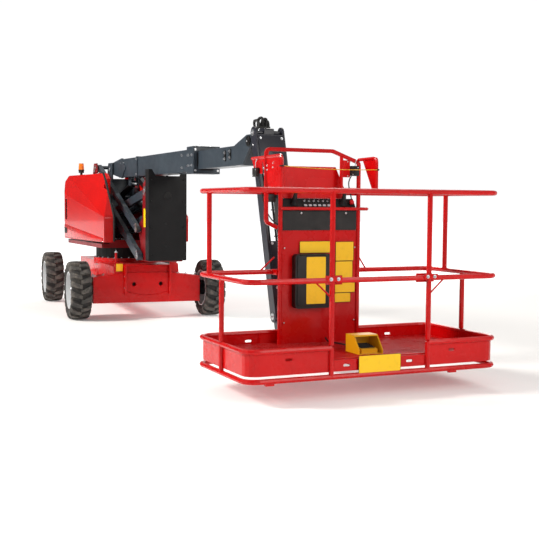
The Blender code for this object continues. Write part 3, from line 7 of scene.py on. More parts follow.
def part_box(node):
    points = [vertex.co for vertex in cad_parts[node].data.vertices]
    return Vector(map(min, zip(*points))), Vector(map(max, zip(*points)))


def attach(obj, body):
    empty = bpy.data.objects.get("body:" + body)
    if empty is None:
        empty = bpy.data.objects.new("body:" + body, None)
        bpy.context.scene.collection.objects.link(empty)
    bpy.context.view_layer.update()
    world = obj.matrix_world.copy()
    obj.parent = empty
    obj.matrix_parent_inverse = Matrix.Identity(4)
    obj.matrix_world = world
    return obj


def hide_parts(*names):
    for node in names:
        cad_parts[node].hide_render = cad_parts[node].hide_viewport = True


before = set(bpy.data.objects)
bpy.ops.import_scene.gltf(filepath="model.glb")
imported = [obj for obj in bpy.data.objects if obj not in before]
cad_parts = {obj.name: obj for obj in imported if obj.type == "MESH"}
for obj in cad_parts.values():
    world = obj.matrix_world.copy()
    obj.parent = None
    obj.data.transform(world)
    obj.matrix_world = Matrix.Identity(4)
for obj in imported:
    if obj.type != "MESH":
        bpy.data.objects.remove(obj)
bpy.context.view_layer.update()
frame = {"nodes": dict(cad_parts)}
print("frame loaded:", len(frame["nodes"]), "CAD nodes")

ringLow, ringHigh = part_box("slew_ring")
slewCentre = Vector(((ringLow.x + ringHigh.x) / 2, (ringLow.y + ringHigh.y) / 2, 0.0))
slewRest = math.radians(4.5)  # the turret stands turned a little to the left
chassisPlace = Matrix.Translation(slewCentre)
turretPlace = chassisPlace @ Matrix.Rotation(slewRest, 4, "Z")


stageSet = {
    "cameraFromSlew": (11.834, -2.392, 1.268),  # metres from the slew centre at ground level
    "lookAlong": (-0.9387, 0.3384, -0.0660),
    "roll": 0.007,
    "lens": 65.1,
    "keyPower": 1500.0,
    "fillPower": 420.0,
    "rimPower": 420.0,
    "lampColour": "#FFFBF6",
    "roomStrength": 0.46,  # light from the rest of the room
    "screenStrength": 0.07,  # dark screen beside the machine, so that its flat sides keep their colour
    "screenTowards": (-0.819, -0.574, 0.0),
    "backdropStrength": 1.05,  # white wall behind the machine
    "floorColour": "#F2F1EF",
}


def linearColour(code):  # sRGB hex colour to the linear values that a shader wants
    values = []
    for start in (1, 3, 5):
        part = int(code[start:start + 2], 16) / 255
        values.append(part / 12.92 if part <= 0.04045 else ((part + 0.055) / 1.055) ** 2.4)
    return (*values, 1.0)


def addNode(tree, kind, settings=None, links=None):  # one node with its values and what feeds it
    node = tree.nodes.new("ShaderNode" + kind)
    for key, value in (settings or {}).items():
        if isinstance(key, int) or key in node.inputs:
            isColour = isinstance(value, str) and value.startswith("#")
            node.inputs[key].default_value = linearColour(value) if isColour else value
        else:
            setattr(node, key, value)
    for key, source in (links or {}).items():
        # a node means its first output
        output = source.outputs[0] if isinstance(source, bpy.types.Node) else source
        tree.links.new(output, node.inputs[key])
    return node


def makeCamera():
    camera = bpy.data.objects.new("mainCamera", bpy.data.cameras.new("mainCamera"))
    camera.data.lens = stageSet["lens"]
    camera.data.sensor_width = 36.0
    camera.data.clip_end = 200.0
    camera.location = slewCentre + Vector(stageSet["cameraFromSlew"])
    facing = Vector(stageSet["lookAlong"]).to_track_quat("-Z", "Y")
    camera.rotation_mode = "QUATERNION"
    camera.rotation_quaternion = facing @ Matrix.Rotation(stageSet["roll"], 4, "Z").to_quaternion()
    bpy.context.scene.collection.objects.link(camera)
    bpy.context.scene.camera = camera


def makeLight(name, power, size, place, target):
    lamp = bpy.data.lights.new(name, "AREA")
    lamp.energy = power
    lamp.color = linearColour(stageSet["lampColour"])[:3]
    lamp.shape = "DISK"
    lamp.size = size
    holder = bpy.data.objects.new(name, lamp)
    holder.location = place
    holder.rotation_mode = "QUATERNION"
    holder.rotation_quaternion = (Vector(target) - Vector(place)).to_track_quat("-Z", "Y")
    bpy.context.scene.collection.objects.link(holder)


def makeStage():
    world = bpy.data.worlds.new("studio")
    world.use_nodes = True
    tree = world.node_tree
    tree.nodes.clear()
    where = addNode(tree, "TexCoord")
    towards = addNode(tree, "VectorMath", {"operation": "DOT_PRODUCT", 1: stageSet["lookAlong"]},
                      {0: where.outputs["Generated"]})
    wall = addNode(tree, "MapRange", {1: 0.80, 2: 0.92, 3: stageSet["roomStrength"],
                                      4: stageSet["backdropStrength"]}, {0: towards.outputs["Value"]})
    aside = addNode(tree, "VectorMath", {"operation": "DOT_PRODUCT", 1: stageSet["screenTowards"]},
                    {0: where.outputs["Generated"]})
    darkShare = stageSet["screenStrength"] / stageSet["roomStrength"]
    screen = addNode(tree, "MapRange", {1: 0.81, 2: 0.90, 3: 1.0, 4: darkShare}, {0: aside.outputs["Value"]})
    both = addNode(tree, "Math", {"operation": "MULTIPLY"}, {0: wall, 1: screen})
    light = addNode(tree, "Background", {"Color": "#FBFBFC"}, {"Strength": both})
    output = addNode(tree, "OutputWorld")
    tree.links.new(light.outputs[0], output.inputs["Surface"])
    bpy.context.scene.world = world
    bm = bmesh.new()
    bmesh.ops.create_grid(bm, x_segments=1, y_segments=1, size=60.0)
    mesh = bpy.data.meshes.new("floor")
    bm.to_mesh(mesh)
    bm.free()
    floor = bpy.data.objects.new("floor", mesh)
    floor.location = (0, 0, -0.002)
    bpy.context.scene.collection.objects.link(floor)
    look = bpy.data.materials.new("paleFloor")
    look.use_nodes = True
    shader = look.node_tree.nodes["Principled BSDF"]
    shader.inputs["Base Color"].default_value = linearColour(stageSet["floorColour"])
    shader.inputs["Roughness"].default_value = 0.95
    shader.inputs["Specular IOR Level"].default_value = 0.1
    shader.inputs["Emission Color"].default_value = linearColour("#FFFFFF")
    spot = addNode(look.node_tree, "TexCoord")
    away = addNode(look.node_tree, "VectorMath", {"operation": "DOT_PRODUCT", 1: stageSet["lookAlong"]},
                   {0: spot.outputs["Object"]})
    glow = addNode(look.node_tree, "MapRange",
                   {1: 3.5, 2: 10.0, 3: 0.24, 4: 0.9, "interpolation_type": "SMOOTHSTEP"},
                   {0: away.outputs["Value"]})  # painted light: the floor glows brighter towards the lit wall and inside the camera's view, so that it runs into the wall
    across = addNode(look.node_tree, "VectorMath",
                     {"operation": "DOT_PRODUCT",
                      1: (stageSet["lookAlong"][1], -stageSet["lookAlong"][0], 0)},
                     {0: spot.outputs["Object"]})
    ratio = addNode(look.node_tree, "Math", {"operation": "DIVIDE"},
                    {0: across.outputs["Value"], 1: away.outputs["Value"]})
    width = addNode(look.node_tree, "Math", {"operation": "ABSOLUTE"}, {0: ratio})
    # painted light: outside the camera's view the floor's glow drops to a quarter
    inside = addNode(look.node_tree, "MapRange", {1: 0.40, 2: 1.10, 3: 1.0, 4: 0.25}, {0: width})
    paintedFloorGlow = addNode(look.node_tree, "Math", {"operation": "MULTIPLY"}, {0: glow, 1: inside})
    look.node_tree.links.new(paintedFloorGlow.outputs[0], shader.inputs["Emission Strength"])
    floor.data.materials.append(look)
    middle = (0.8, 0, 0.8)
    makeLight("keyLight", stageSet["keyPower"], 3.0, (-0.5, -9.5, 7.0), middle)
    makeLight("fillLight", stageSet["fillPower"], 6.0, (11.0, 4.0, 5.0), middle)
    makeLight("rimLight", stageSet["rimPower"], 5.0, (-7.0, 5.0, 7.0), middle)


makeCamera()
makeStage()
print("camera, light and floor ready")


def perMetre(millimetres):  # pattern scale for a feature of that real size
    return 1000.0 / millimetres


def newMaterial(name, metallic=0.0, ior=1.5, coat=0.0, coatRoughness=0.05, sheen=0.5):
    made = bpy.data.materials.new(name)
    made.use_nodes = True
    tree = made.node_tree
    tree.nodes.clear()
    shader = addNode(tree, "BsdfPrincipled", {"Metallic": metallic, "IOR": ior, "Coat Weight": coat,
                                              "Coat Roughness": coatRoughness, "Specular IOR Level": sheen})
    output = addNode(tree, "OutputMaterial")
    tree.links.new(shader.outputs["BSDF"], output.inputs["Surface"])
    place = addNode(tree, "TexCoord")
    return made, tree, shader, place.outputs["Object"]


paintSet = {
    "edgeRadius": 0.0035,  # how far the worn, rounded edge reaches, in metres
    "peelSize": 6.0,  # millimetres; true orange peel is 1 to 2 mm, drawn coarser so that it shows
    "cloudSize": 420.0,
    "dustSize": 55.0,
}


def enamelOnSteel(name, colour, shade, worn, gloss, coat, peel=0.05, dust=0.10, wear=0.35, sheen=0.28):
    # two-part enamel sprayed on steel plate: an even colour, a faint orange peel, paler chipped edges, dust
    # on top faces
    made, tree, shader, spot = newMaterial(name, coat=coat, sheen=sheen)
    cloud = addNode(tree, "TexNoise", {"Scale": perMetre(paintSet["cloudSize"]), "Detail": 3.0},
                    {"Vector": spot})
    cloudRange = addNode(tree, "MapRange", {1: 0.35, 2: 0.68}, {0: cloud})
    base = addNode(tree, "Mix", {"data_type": "RGBA", 6: shade, 7: colour}, {0: cloudRange})
    roundNormal = addNode(tree, "Bevel", {"samples": 4, "Radius": paintSet["edgeRadius"]})
    geometry = addNode(tree, "NewGeometry")
    turn = addNode(tree, "VectorMath", {"operation": "DOT_PRODUCT"},
                   {0: roundNormal, 1: geometry.outputs["Normal"]})
    edge = addNode(tree, "MapRange", {1: 0.985, 2: 0.90}, {0: turn.outputs["Value"]})
    chips = addNode(tree, "TexNoise", {"Scale": perMetre(14.0), "Detail": 6.0, "Roughness": 0.7},
                    {"Vector": spot})
    chipRange = addNode(tree, "MapRange", {1: 0.50, 2: 0.66, 4: wear}, {0: chips})
    chipped = addNode(tree, "Math", {"operation": "MULTIPLY"}, {0: edge, 1: chipRange})
    wornBase = addNode(tree, "Mix", {"data_type": "RGBA", 7: worn}, {0: chipped, 6: base.outputs[2]})
    facing = addNode(tree, "SeparateXYZ", {}, {0: geometry.outputs["Normal"]})
    upward = addNode(tree, "MapRange", {1: 0.6, 2: 1.0}, {0: facing.outputs[2]})
    specks = addNode(tree, "TexNoise", {"Scale": perMetre(paintSet["dustSize"]), "Detail": 8.0},
                     {"Vector": spot})
    speckRange = addNode(tree, "MapRange", {1: 0.42, 2: 0.75, 4: dust}, {0: specks})
    dusty = addNode(tree, "Math", {"operation": "MULTIPLY"}, {0: upward, 1: speckRange})
    dustBase = addNode(tree, "Mix", {"data_type": "RGBA", 7: "#B9AFA4"}, {0: dusty, 6: wornBase.outputs[2]})
    tree.links.new(dustBase.outputs[2], shader.inputs["Base Color"])
    smear = addNode(tree, "TexNoise", {"Scale": perMetre(120.0), "Detail": 5.0}, {"Vector": spot})
    smearRange = addNode(tree, "MapRange", {1: 0.3, 2: 0.7, 3: gloss * 0.85, 4: gloss * 1.25}, {0: smear})
    rough = addNode(tree, "Math", {"operation": "ADD"}, {0: smearRange, 1: dusty})
    tree.links.new(rough.outputs[0], shader.inputs["Roughness"])
    skin = addNode(tree, "TexNoise", {"Scale": perMetre(paintSet["peelSize"]), "Detail": 2.0},
                   {"Vector": spot})
    bump = addNode(tree, "Bump", {"Strength": peel, "Distance": 0.0008},
                   {"Height": skin, "Normal": roundNormal})
    tree.links.new(bump.outputs[0], shader.inputs["Normal"])
    return made


def bareMetal(name, colour, rough, grain, streak=(1, 1, 1)):
    # turned, ground or plated steel left bare: metallic, with a fine grain that breaks up the highlight
    made, tree, shader, spot = newMaterial(name, metallic=1.0)
    shader.inputs["Base Color"].default_value = linearColour(colour)
    stretch = addNode(tree, "Mapping", {"Scale": streak}, {"Vector": spot})
    lines = addNode(tree, "TexNoise", {"Scale": perMetre(grain), "Detail": 4.0}, {"Vector": stretch})
    spread = addNode(tree, "MapRange", {1: 0.3, 2: 0.7, 3: rough * 0.7, 4: rough * 1.4}, {0: lines})
    tree.links.new(spread.outputs[0], shader.inputs["Roughness"])
    bump = addNode(tree, "Bump", {"Strength": 0.08, "Distance": 0.0004}, {"Height": lines})
    tree.links.new(bump.outputs[0], shader.inputs["Normal"])
    return made


def mouldedPlastic(name, colour, rough, grain=1.6, depth=0.25):
    # ABS or polypropylene moulded in a spark-eroded tool: fine leathery grain and a soft sheen
    made, tree, shader, spot = newMaterial(name, ior=1.53, sheen=0.3)
    tone = addNode(tree, "TexNoise", {"Scale": perMetre(90.0), "Detail": 4.0}, {"Vector": spot})
    toneRange = addNode(tree, "MapRange", {1: 0.35, 2: 0.7, 3: 0.0, 4: 0.05}, {0: tone})
    base = addNode(tree, "Mix", {"data_type": "RGBA", 6: colour, 7: "#8A8580"}, {0: toneRange})
    tree.links.new(base.outputs[2], shader.inputs["Base Color"])
    shader.inputs["Roughness"].default_value = rough
    cells = addNode(tree, "TexVoronoi", {"Scale": perMetre(grain * 2)}, {"Vector": spot})
    bump = addNode(tree, "Bump", {"Strength": depth, "Distance": 0.0005}, {"Height": cells})
    tree.links.new(bump.outputs[0], shader.inputs["Normal"])
    return made


def tyreRubber(name, colour, dustColour):
    # solid vulcanised rubber: matt, dusty on the shoulders, with small scuffs
    made, tree, shader, spot = newMaterial(name, ior=1.52)
    dust = addNode(tree, "TexNoise", {"Scale": perMetre(70.0), "Detail": 9.0, "Roughness": 0.65},
                   {"Vector": spot})
    dustRange = addNode(tree, "MapRange", {1: 0.45, 2: 0.72, 3: 0.05, 4: 0.55}, {0: dust})
    base = addNode(tree, "Mix", {"data_type": "RGBA", 6: colour, 7: dustColour}, {0: dustRange})
    tree.links.new(base.outputs[2], shader.inputs["Base Color"])
    shader.inputs["Roughness"].default_value = 0.82
    scuff = addNode(tree, "TexNoise", {"Scale": perMetre(5.0), "Detail": 6.0}, {"Vector": spot})
    bump = addNode(tree, "Bump", {"Strength": 0.35, "Distance": 0.0015}, {"Height": scuff})
    tree.links.new(bump.outputs[0], shader.inputs["Normal"])
    return made


def printedVinyl(name, colour):
    # cast vinyl film stuck to the paint: satin, a little dirty, with no print on it
    made, tree, shader, spot = newMaterial(name, ior=1.46)
    dirt = addNode(tree, "TexNoise", {"Scale": perMetre(40.0), "Detail": 7.0}, {"Vector": spot})
    dirtRange = addNode(tree, "MapRange", {1: 0.55, 2: 0.85, 4: 0.16}, {0: dirt})
    base = addNode(tree, "Mix", {"data_type": "RGBA", 6: colour, 7: "#7A5A12"}, {0: dirtRange})
    tree.links.new(base.outputs[2], shader.inputs["Base Color"])
    shader.inputs["Roughness"].default_value = 0.38
    wave = addNode(tree, "TexNoise", {"Scale": perMetre(30.0), "Detail": 2.0}, {"Vector": spot})
    bump = addNode(tree, "Bump", {"Strength": 0.06, "Distance": 0.001}, {"Height": wave})
    tree.links.new(bump.outputs[0], shader.inputs["Normal"])
    return made


def amberPolycarbonate(name):
    # injection-moulded beacon lens: clear amber with vertical flutes
    made, tree, shader, spot = newMaterial(name, ior=1.58)
    shader.inputs["Base Color"].default_value = linearColour("#F07A12")
    shader.inputs["Transmission Weight"].default_value = 0.35
    shader.inputs["Emission Color"].default_value = linearColour("#E86A08")
    shader.inputs["Emission Strength"].default_value = 0.10
    flutes = addNode(tree, "TexWave", {"Scale": perMetre(9.0) / 6.283, "Distortion": 0.0}, {"Vector": spot})
    spread = addNode(tree, "MapRange", {3: 0.12, 4: 0.28}, {0: flutes.outputs[1]})
    tree.links.new(spread.outputs[0], shader.inputs["Roughness"])
    bump = addNode(tree, "Bump", {"Strength": 0.4, "Distance": 0.002}, {"Height": flutes.outputs[1]})
    tree.links.new(bump.outputs[0], shader.inputs["Normal"])
    return made


finish = {
    "redEnamel": enamelOnSteel("redEnamel", "#C60507", "#B60406", "#6E2A22", 0.27, 0.14, sheen=0.2),
    "hoodEnamel": enamelOnSteel("hoodEnamel", "#C80A05", "#BE0704", "#D8604F", 0.20, 0.35, peel=0.02,
                                wear=0.10,
                                sheen=0.2),
    # painted shade: a darker copy of the red enamel, for the turret frame and front knuckle, which are the
    # same red as the rest
    "shadedRedEnamel": enamelOnSteel("shadedRedEnamel", "#860710", "#76060D", "#4A2A2A", 0.35, 0.10),
    "slateEnamel": enamelOnSteel("slateEnamel", "#363F47", "#2F373F", "#848A90", 0.34, 0.10, dust=0.2),
    "jibEnamel": enamelOnSteel("jibEnamel", "#262731", "#20212A", "#777984", 0.32, 0.15, dust=0.2),
    "blackPowder": enamelOnSteel("blackPowder", "#0E0E10", "#09090A", "#4B4B50", 0.42, 0.0, peel=0.10,
                                 dust=0.15,
                                 sheen=0.2),
    "paleEnamel": enamelOnSteel("paleEnamel", "#BDBFC1", "#AEB0B2", "#8D8A86", 0.34, 0.1, dust=0.15),
    "yellowEnamel": enamelOnSteel("yellowEnamel", "#E5A80C", "#D2960A", "#6A5A3A", 0.33, 0.1),
    "castIron": enamelOnSteel("castIron", "#1B1C1F", "#141517", "#5A5A5A", 0.55, 0.0, peel=0.5),
    "chromedRod": bareMetal("chromedRod", "#D6D9DC", 0.10, 2.0, (1, 1, 12)),
    "zincPlate": bareMetal("zincPlate", "#C9CCCF", 0.30, 3.0),
    "blackPlastic": mouldedPlastic("blackPlastic", "#0C0B0C", 0.45),
    "greyPlastic": mouldedPlastic("greyPlastic", "#B9BBBF", 0.42),
    "redPlastic": mouldedPlastic("redPlastic", "#C21018", 0.30, depth=0.05),
    "hoseRubber": mouldedPlastic("hoseRubber", "#101012", 0.55, grain=2.5, depth=0.5),
    "sealRubber": mouldedPlastic("sealRubber", "#0C0C0D", 0.70),
    "solidTyre": tyreRubber("solidTyre", "#333231", "#8D8378"),
    # painted shade: the carcass under and between the lugs gets darker rubber and darker dust than the lugs
    "shadedGrooveRubber": tyreRubber("shadedGrooveRubber", "#1A1A1B", "#50483F"),
    "yellowVinyl": printedVinyl("yellowVinyl", "#F5C400"),
    "amberLens": amberPolycarbonate("amberLens"),
}

nodeFinish = {
    "redEnamel": ("chassis", "platform_tray", "platform_rails", "entry_bar", "control_column",
                  "console_shield",
                  "guard_frame", "counterweight"),
    "hoodEnamel": ("right_hood", "left_hood"),
    # painted shade: the turret frame and front knuckle take the darker copy of the red
    "shadedRedEnamel": ("turret_frame", "front_knuckle"),
    "slateEnamel": ("lower_arm", "lower_tie", "upper_arm", "upper_tie", "rear_knuckle", "boom_outer",
                    "boom_inner"),
    "jibEnamel": ("jib_head", "jib_arm", "jib_tie", "platform_support"),
    "blackPowder": ("slew_ring", "knuckle_cover", "right_axle_hub", "left_axle_hub",
                    "right_steering_knuckle",
                    "left_steering_knuckle", "arm_cylinder_barrel", "boom_cylinder_barrel"),
    "paleEnamel": ("front_right_rim", "front_left_rim", "rear_right_rim", "rear_left_rim"),
    "chromedRod": ("arm_cylinder_rod", "boom_cylinder_rod"),
    "blackPlastic": ("control_console", "document_box", "beacon_base"),
    "hoseRubber": ("jib_hoses",),
    "castIron": ("right_battery_pack", "left_battery_pack"),
    "yellowEnamel": ("foot_switch",),
    "amberLens": ("beacon_lens",),
    "solidTyre": ("front_right_tyre", "front_left_tyre", "rear_right_tyre", "rear_left_tyre"),
}


def nodeObject(name):
    known = frame["nodes"][name] if isinstance(frame["nodes"], dict) else bpy.data.objects[name]
    return known if hasattr(known, "material_slots") else bpy.data.objects[name]


for finishName, nodeNames in nodeFinish.items():
    for nodeName in nodeNames:
        for slot in nodeObject(nodeName).material_slots:
            slot.material = finish[finishName]
print("materials ready:", len(finish))


def turns(count, shift=0.0):  # even angles round a circle
    return [2 * math.pi * (step + shift) / count for step in range(count)]


def hoop(centre, radius, axes, count):  # points round a circle in the plane of two axes, such as "xy"
    points = [Vector(centre) for step in range(count)]
    for point, a in zip(points, turns(count)):
        point["xyz".index(axes[0])] += radius * math.cos(a)
        point["xyz".index(axes[1])] += radius * math.sin(a)
    return points


def addBox(bm, low, high, edge=0.0):
    low, high = Vector(low), Vector(high)
    place = Matrix.Translation((low + high) / 2) @ Matrix.Diagonal((*(high - low), 1.0))
    made = bmesh.ops.create_cube(bm, size=1.0, matrix=place)["verts"]
    if edge > 0:
        edges = {link for vert in made for link in vert.link_edges}
        bmesh.ops.bevel(bm, geom=list(edges), offset=edge, segments=2, affect="EDGES", profile=0.7)


def addRod(bm, start, end, radius, sides=16, endRadius=None, edge=0.0):
    start, end = Vector(start), Vector(end)
    turn = (end - start).to_track_quat("Z", "Y").to_matrix().to_4x4()
    endRadius = radius if endRadius is None else endRadius
    made = bmesh.ops.create_cone(bm, cap_ends=True, segments=sides, radius1=radius, radius2=endRadius,
                                 depth=(end - start).length,
                                 matrix=Matrix.Translation((start + end) / 2) @ turn)["verts"]
    if edge > 0:
        rims = {link for vert in made for link in vert.link_edges
                if any(len(face.verts) > 4 for face in link.link_faces)}
        bmesh.ops.bevel(bm, geom=list(rims), offset=edge, segments=2, affect="EDGES", profile=0.7)


def addTube(bm, points, radius, sides=10, closed=False):
    points = [Vector(point) for point in points]
    rings = []
    normal = None
    for index, point in enumerate(points):
        before = points[index - 1] if index or closed else point
        after = points[(index + 1) % len(points)] if index < len(points) - 1 or closed else point
        along = (after - before).normalized()
        if normal is None:
            normal = along.orthogonal().normalized()
        normal = (normal - along * normal.dot(along)).normalized()
        side = along.cross(normal)
        rings.append([bm.verts.new(point + (normal * math.cos(a) + side * math.sin(a)) * radius)
                      for a in turns(sides)])
    spans = len(rings) if closed else len(rings) - 1
    for index in range(spans):
        first, second = rings[index], rings[(index + 1) % len(rings)]
        for step in range(sides):
            bm.faces.new((first[step], first[(step + 1) % sides], second[(step + 1) % sides], second[step]))
    if not closed:
        bm.faces.new(list(reversed(rings[0])))
        bm.faces.new(rings[-1])


def smoothPath(points, steps=5):  # even curve through the points
    points = [Vector(point) for point in points]
    path = []
    for index in range(len(points) - 1):
        a = points[max(index - 1, 0)]
        b, c = points[index], points[index + 1]
        d = points[min(index + 2, len(points) - 1)]
        for step in range(steps):
            t = step / steps
            path.append(0.5 * ((2 * b) + (c - a) * t + (2 * a - 5 * b + 4 * c - d) * t * t
                               + (3 * b - a - 3 * c + d) * t ** 3))
    path.append(points[-1])
    return path


def addPlate(bm, outline, thick, place, edge=0.0):  # flat plate from an outline in x and y, built on z
    low = [bm.verts.new(place @ Vector((x, y, 0.0))) for x, y in outline]
    high = [bm.verts.new(place @ Vector((x, y, thick))) for x, y in outline]
    count = len(outline)
    faces = [bm.faces.new(list(reversed(low))), bm.faces.new(high)]
    for step in range(count):
        faces.append(bm.faces.new((low[step], low[(step + 1) % count], high[(step + 1) % count],
                                   high[step])))
    bmesh.ops.recalc_face_normals(bm, faces=faces)
    if edge > 0:
        bmesh.ops.bevel(bm, geom=list(faces[1].edges), offset=edge, segments=2, affect="EDGES", profile=0.7)


def roundedOutline(width, height, radius, steps=4):
    outline = []
    for sx, sy, start in ((1, 1, 0), (-1, 1, 90), (-1, -1, 180), (1, -1, 270)):
        for step in range(steps + 1):
            a = math.radians(start + 90 * step / steps)
            outline.append((sx * (width / 2 - radius) + radius * math.cos(a),
                            sy * (height / 2 - radius) + radius * math.sin(a)))
    return outline


def facingPlace(point, normal, up=(0, 0, 1)):  # local z along the normal, local y near up
    normal = Vector(normal).normalized()
    up = Vector(up)
    side = up.cross(normal)
    side = side.normalized() if side.length > 0.001 else Vector((1, 0, 0))
    up = normal.cross(side)
    turn = Matrix((side, up, normal)).transposed().to_4x4()
    return Matrix.Translation(Vector(point)) @ turn


def addBolt(bm, point, normal, size=0.016):  # hexagon head on a washer; size is across the flats
    place = facingPlace(point, normal)
    tip = place @ Vector((0, 0, size * 0.12))
    addRod(bm, Vector(point), tip, size * 0.85, 14)
    addRod(bm, tip, place @ Vector((0, 0, size * 0.66)), size * 0.58, 6, size * 0.54)
    addRod(bm, place @ Vector((0, 0, size * 0.66)), place @ Vector((0, 0, size * 0.86)), size * 0.30, 8)


def addDome(bm, point, normal, radius):  # button-head screw or rivet
    place = facingPlace(point, normal)
    rings = ((1.0, 0.0), (0.94, 0.28), (0.70, 0.52), (0.35, 0.64))
    last = None
    for share, rise in rings:
        ring = [bm.verts.new(place @ Vector((radius * share * math.cos(a), radius * share * math.sin(a),
                                             radius * rise)))
                for a in turns(12)]
        if last:
            for step in range(12):
                bm.faces.new((last[step], last[(step + 1) % 12], ring[(step + 1) % 12], ring[step]))
        last = ring
    bm.faces.new(last)


def finishPiece(name, bm, look, body, place=turretPlace, smooth=40):
    bmesh.ops.transform(bm, matrix=place, verts=bm.verts)
    bmesh.ops.recalc_face_normals(bm, faces=bm.faces)
    mesh = bpy.data.meshes.new(name)
    bm.to_mesh(mesh)
    bm.free()
    mesh.shade_smooth()
    mesh.set_sharp_from_angle(angle=math.radians(smooth))
    mesh.materials.append(finish[look])
    piece = bpy.data.objects.new(name, mesh)
    bpy.context.scene.collection.objects.link(piece)
    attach(piece, body)
    return piece


tyreSet = {
    "carcass": 0.300,  # radius of the rubber under the lugs
    "lugTop": 0.3192,
    "lugsPerSide": 18,
    "lugThickness": 0.050,  # along the tread, at the top of a lug
    "sweep": 0.15,  # radians that a lug runs back from the centre to the shoulder
}


def tyreRing(bm, centre):
    wall = [(0.090, 0.2068), (0.102, 0.2140), (0.104, 0.2300), (0.1075, 0.2330), (0.110, 0.2440),
            (0.110, 0.2640), (0.106, 0.2740), (0.102, 0.2790), (0.098, 0.2880), (0.084, 0.2960)]
    profile = [(-y, r) for y, r in wall] + [(0.0, tyreSet["carcass"])] + wall[::-1]
    rings = [[bm.verts.new(centre + Vector((r * math.cos(a), y, r * math.sin(a)))) for y, r in profile]
             for a in turns(72)]
    for step in range(len(rings)):
        first, second = rings[step], rings[(step + 1) % len(rings)]
        for index in range(len(profile)):
            after = (index + 1) % len(profile)
            bm.faces.new((first[index], first[after], second[after], second[index]))


def tyreLug(bm, centre, angle, hand, turnWay):
    top = tyreSet["lugTop"]
    sweep = tyreSet["sweep"]
    stations = ((-0.006, 0.292, top, 0.0), (0.030, 0.292, top, 0.22), (0.064, 0.290, top - 0.001, 0.50),
                (0.088, 0.286, top - 0.004, 0.74), (0.104, 0.276, top - 0.014, 0.90),
                (0.1125, 0.262, top - 0.034, 1.0), (0.1130, 0.246, top - 0.062, 1.0))
    rings = []
    for across, low, high, share in stations:
        back = angle + turnWay * sweep * share
        topHalf = tyreSet["lugThickness"] / 2 / top * (0.85 + 0.35 * share)
        lowHalf = topHalf * 1.30
        spots = ((low, -lowHalf), (high, -topHalf), (high, topHalf), (low, lowHalf))
        rings.append([bm.verts.new(centre + Vector((r * math.cos(back + d), hand * across,
                                                    r * math.sin(back + d))))
                      for r, d in spots])
    for first, second in zip(rings, rings[1:]):
        for index in range(4):
            after = (index + 1) % 4
            bm.faces.new((first[index], first[after], second[after], second[index]))
    bm.faces.new(rings[0])
    bm.faces.new(rings[-1])


def makeTyre(name):
    low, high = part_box(name)
    centre = (low + high) / 2
    body = name.replace("tyre", "wheel")
    ring = bmesh.new()
    tyreRing(ring, centre)
    # painted shade: the carcass takes the darker copy of the tyre rubber
    finishPiece("carcass_" + name, ring, "shadedGrooveRubber", body, Matrix.Identity(4), 30)
    bm = bmesh.new()
    pitch = 2 * math.pi / tyreSet["lugsPerSide"]
    for step in range(tyreSet["lugsPerSide"]):
        tyreLug(bm, centre, step * pitch, 1, 1)
        tyreLug(bm, centre, (step + 0.5) * pitch, -1, 1)
    piece = finishPiece("lugged_" + name, bm, "solidTyre", body, Matrix.Identity(4), 30)
    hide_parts(name)


wheelSet = {
    "nuts": 8,
    "nutCircle": 0.098,  # radius of the circle that the nuts stand on
    "nutSize": 0.0125,
}


def makeWheelFace(name):
    low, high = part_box(name)
    centre = (low + high) / 2
    side = 1 if centre.y > slewCentre.y else -1
    bm = bmesh.new()
    radius = wheelSet["nutCircle"]
    for a in turns(wheelSet["nuts"]):
        spot = centre + Vector((radius * math.cos(a), side * 0.047, radius * math.sin(a)))
        addRod(bm, spot, spot + Vector((0, side * 0.017, 0)), wheelSet["nutSize"], 6, edge=0.0015)
        addRod(bm, spot + Vector((0, side * 0.016, 0)), spot + Vector((0, side * 0.030, 0)), 0.0065, 10)
    addRod(bm, centre + Vector((0, side * 0.070, 0)), centre + Vector((0, side * 0.082, 0)), 0.050, 24,
           0.044, 0.002)
    addRod(bm, centre + Vector((0, side * 0.080, 0)), centre + Vector((0, side * 0.088, 0)), 0.010, 6)
    finishPiece("wheel_nuts_" + name, bm, "zincPlate", name.replace("rim", "wheel"), Matrix.Identity(4), 40)


for end in ("front", "rear"):
    for hand in ("right", "left"):
        makeTyre(f"{end}_{hand}_tyre")
        makeWheelFace(f"{end}_{hand}_rim")
print("wheels ready")


chassisSet = {
    "beamFace": 1.196,
    "boltSize": 0.019,
    "towFace": 1.184,
    "towHoleY": 0.151,
    "towHoleZ": 0.383,
    "towCollar": 0.0275,  # radius of the ring round each hole
}


def makeChassisBolts():
    bm = bmesh.new()
    face = chassisSet["beamFace"]
    size = chassisSet["boltSize"]
    for side in (-1, 1):
        for z in (0.34, 0.47):
            addDome(bm, (face + 0.012, side * 0.258, z), (0, side, 0), size * 0.45)
        for y in (0.585, 0.470):
            addBolt(bm, (face - 0.130, side * y, 0.482), (0, 0, 1), size)
    for a in turns(28, 0.5):
        addBolt(bm, (0.378 * math.cos(a), 0.378 * math.sin(a), 0.625), (0, 0, 1), 0.015)
    finishPiece("chassis_bolts", bm, "zincPlate", "chassis", chassisPlace, 30)


def makeTowRings():  # collars round the two holes in the front face, with a black disc set inside each hole as painted shade
    bm = bmesh.new()
    inner = bmesh.new()
    face = chassisSet["towFace"]
    z = chassisSet["towHoleZ"]
    for y in (-chassisSet["towHoleY"], chassisSet["towHoleY"]):
        addTube(bm, hoop((face + 0.013, y, z), chassisSet["towCollar"], "yz", 24), 0.0055, 8, closed=True)
        # painted shade: a black disc deep in each hole
        addRod(inner, (face - 0.040, y, z), (face - 0.036, y, z), 0.0215, 20, edge=0.001)
    finishPiece("tow_hole_collars", bm, "redEnamel", "chassis", chassisPlace)
    finishPiece("tow_hole_backs", inner, "blackPowder", "chassis", chassisPlace)


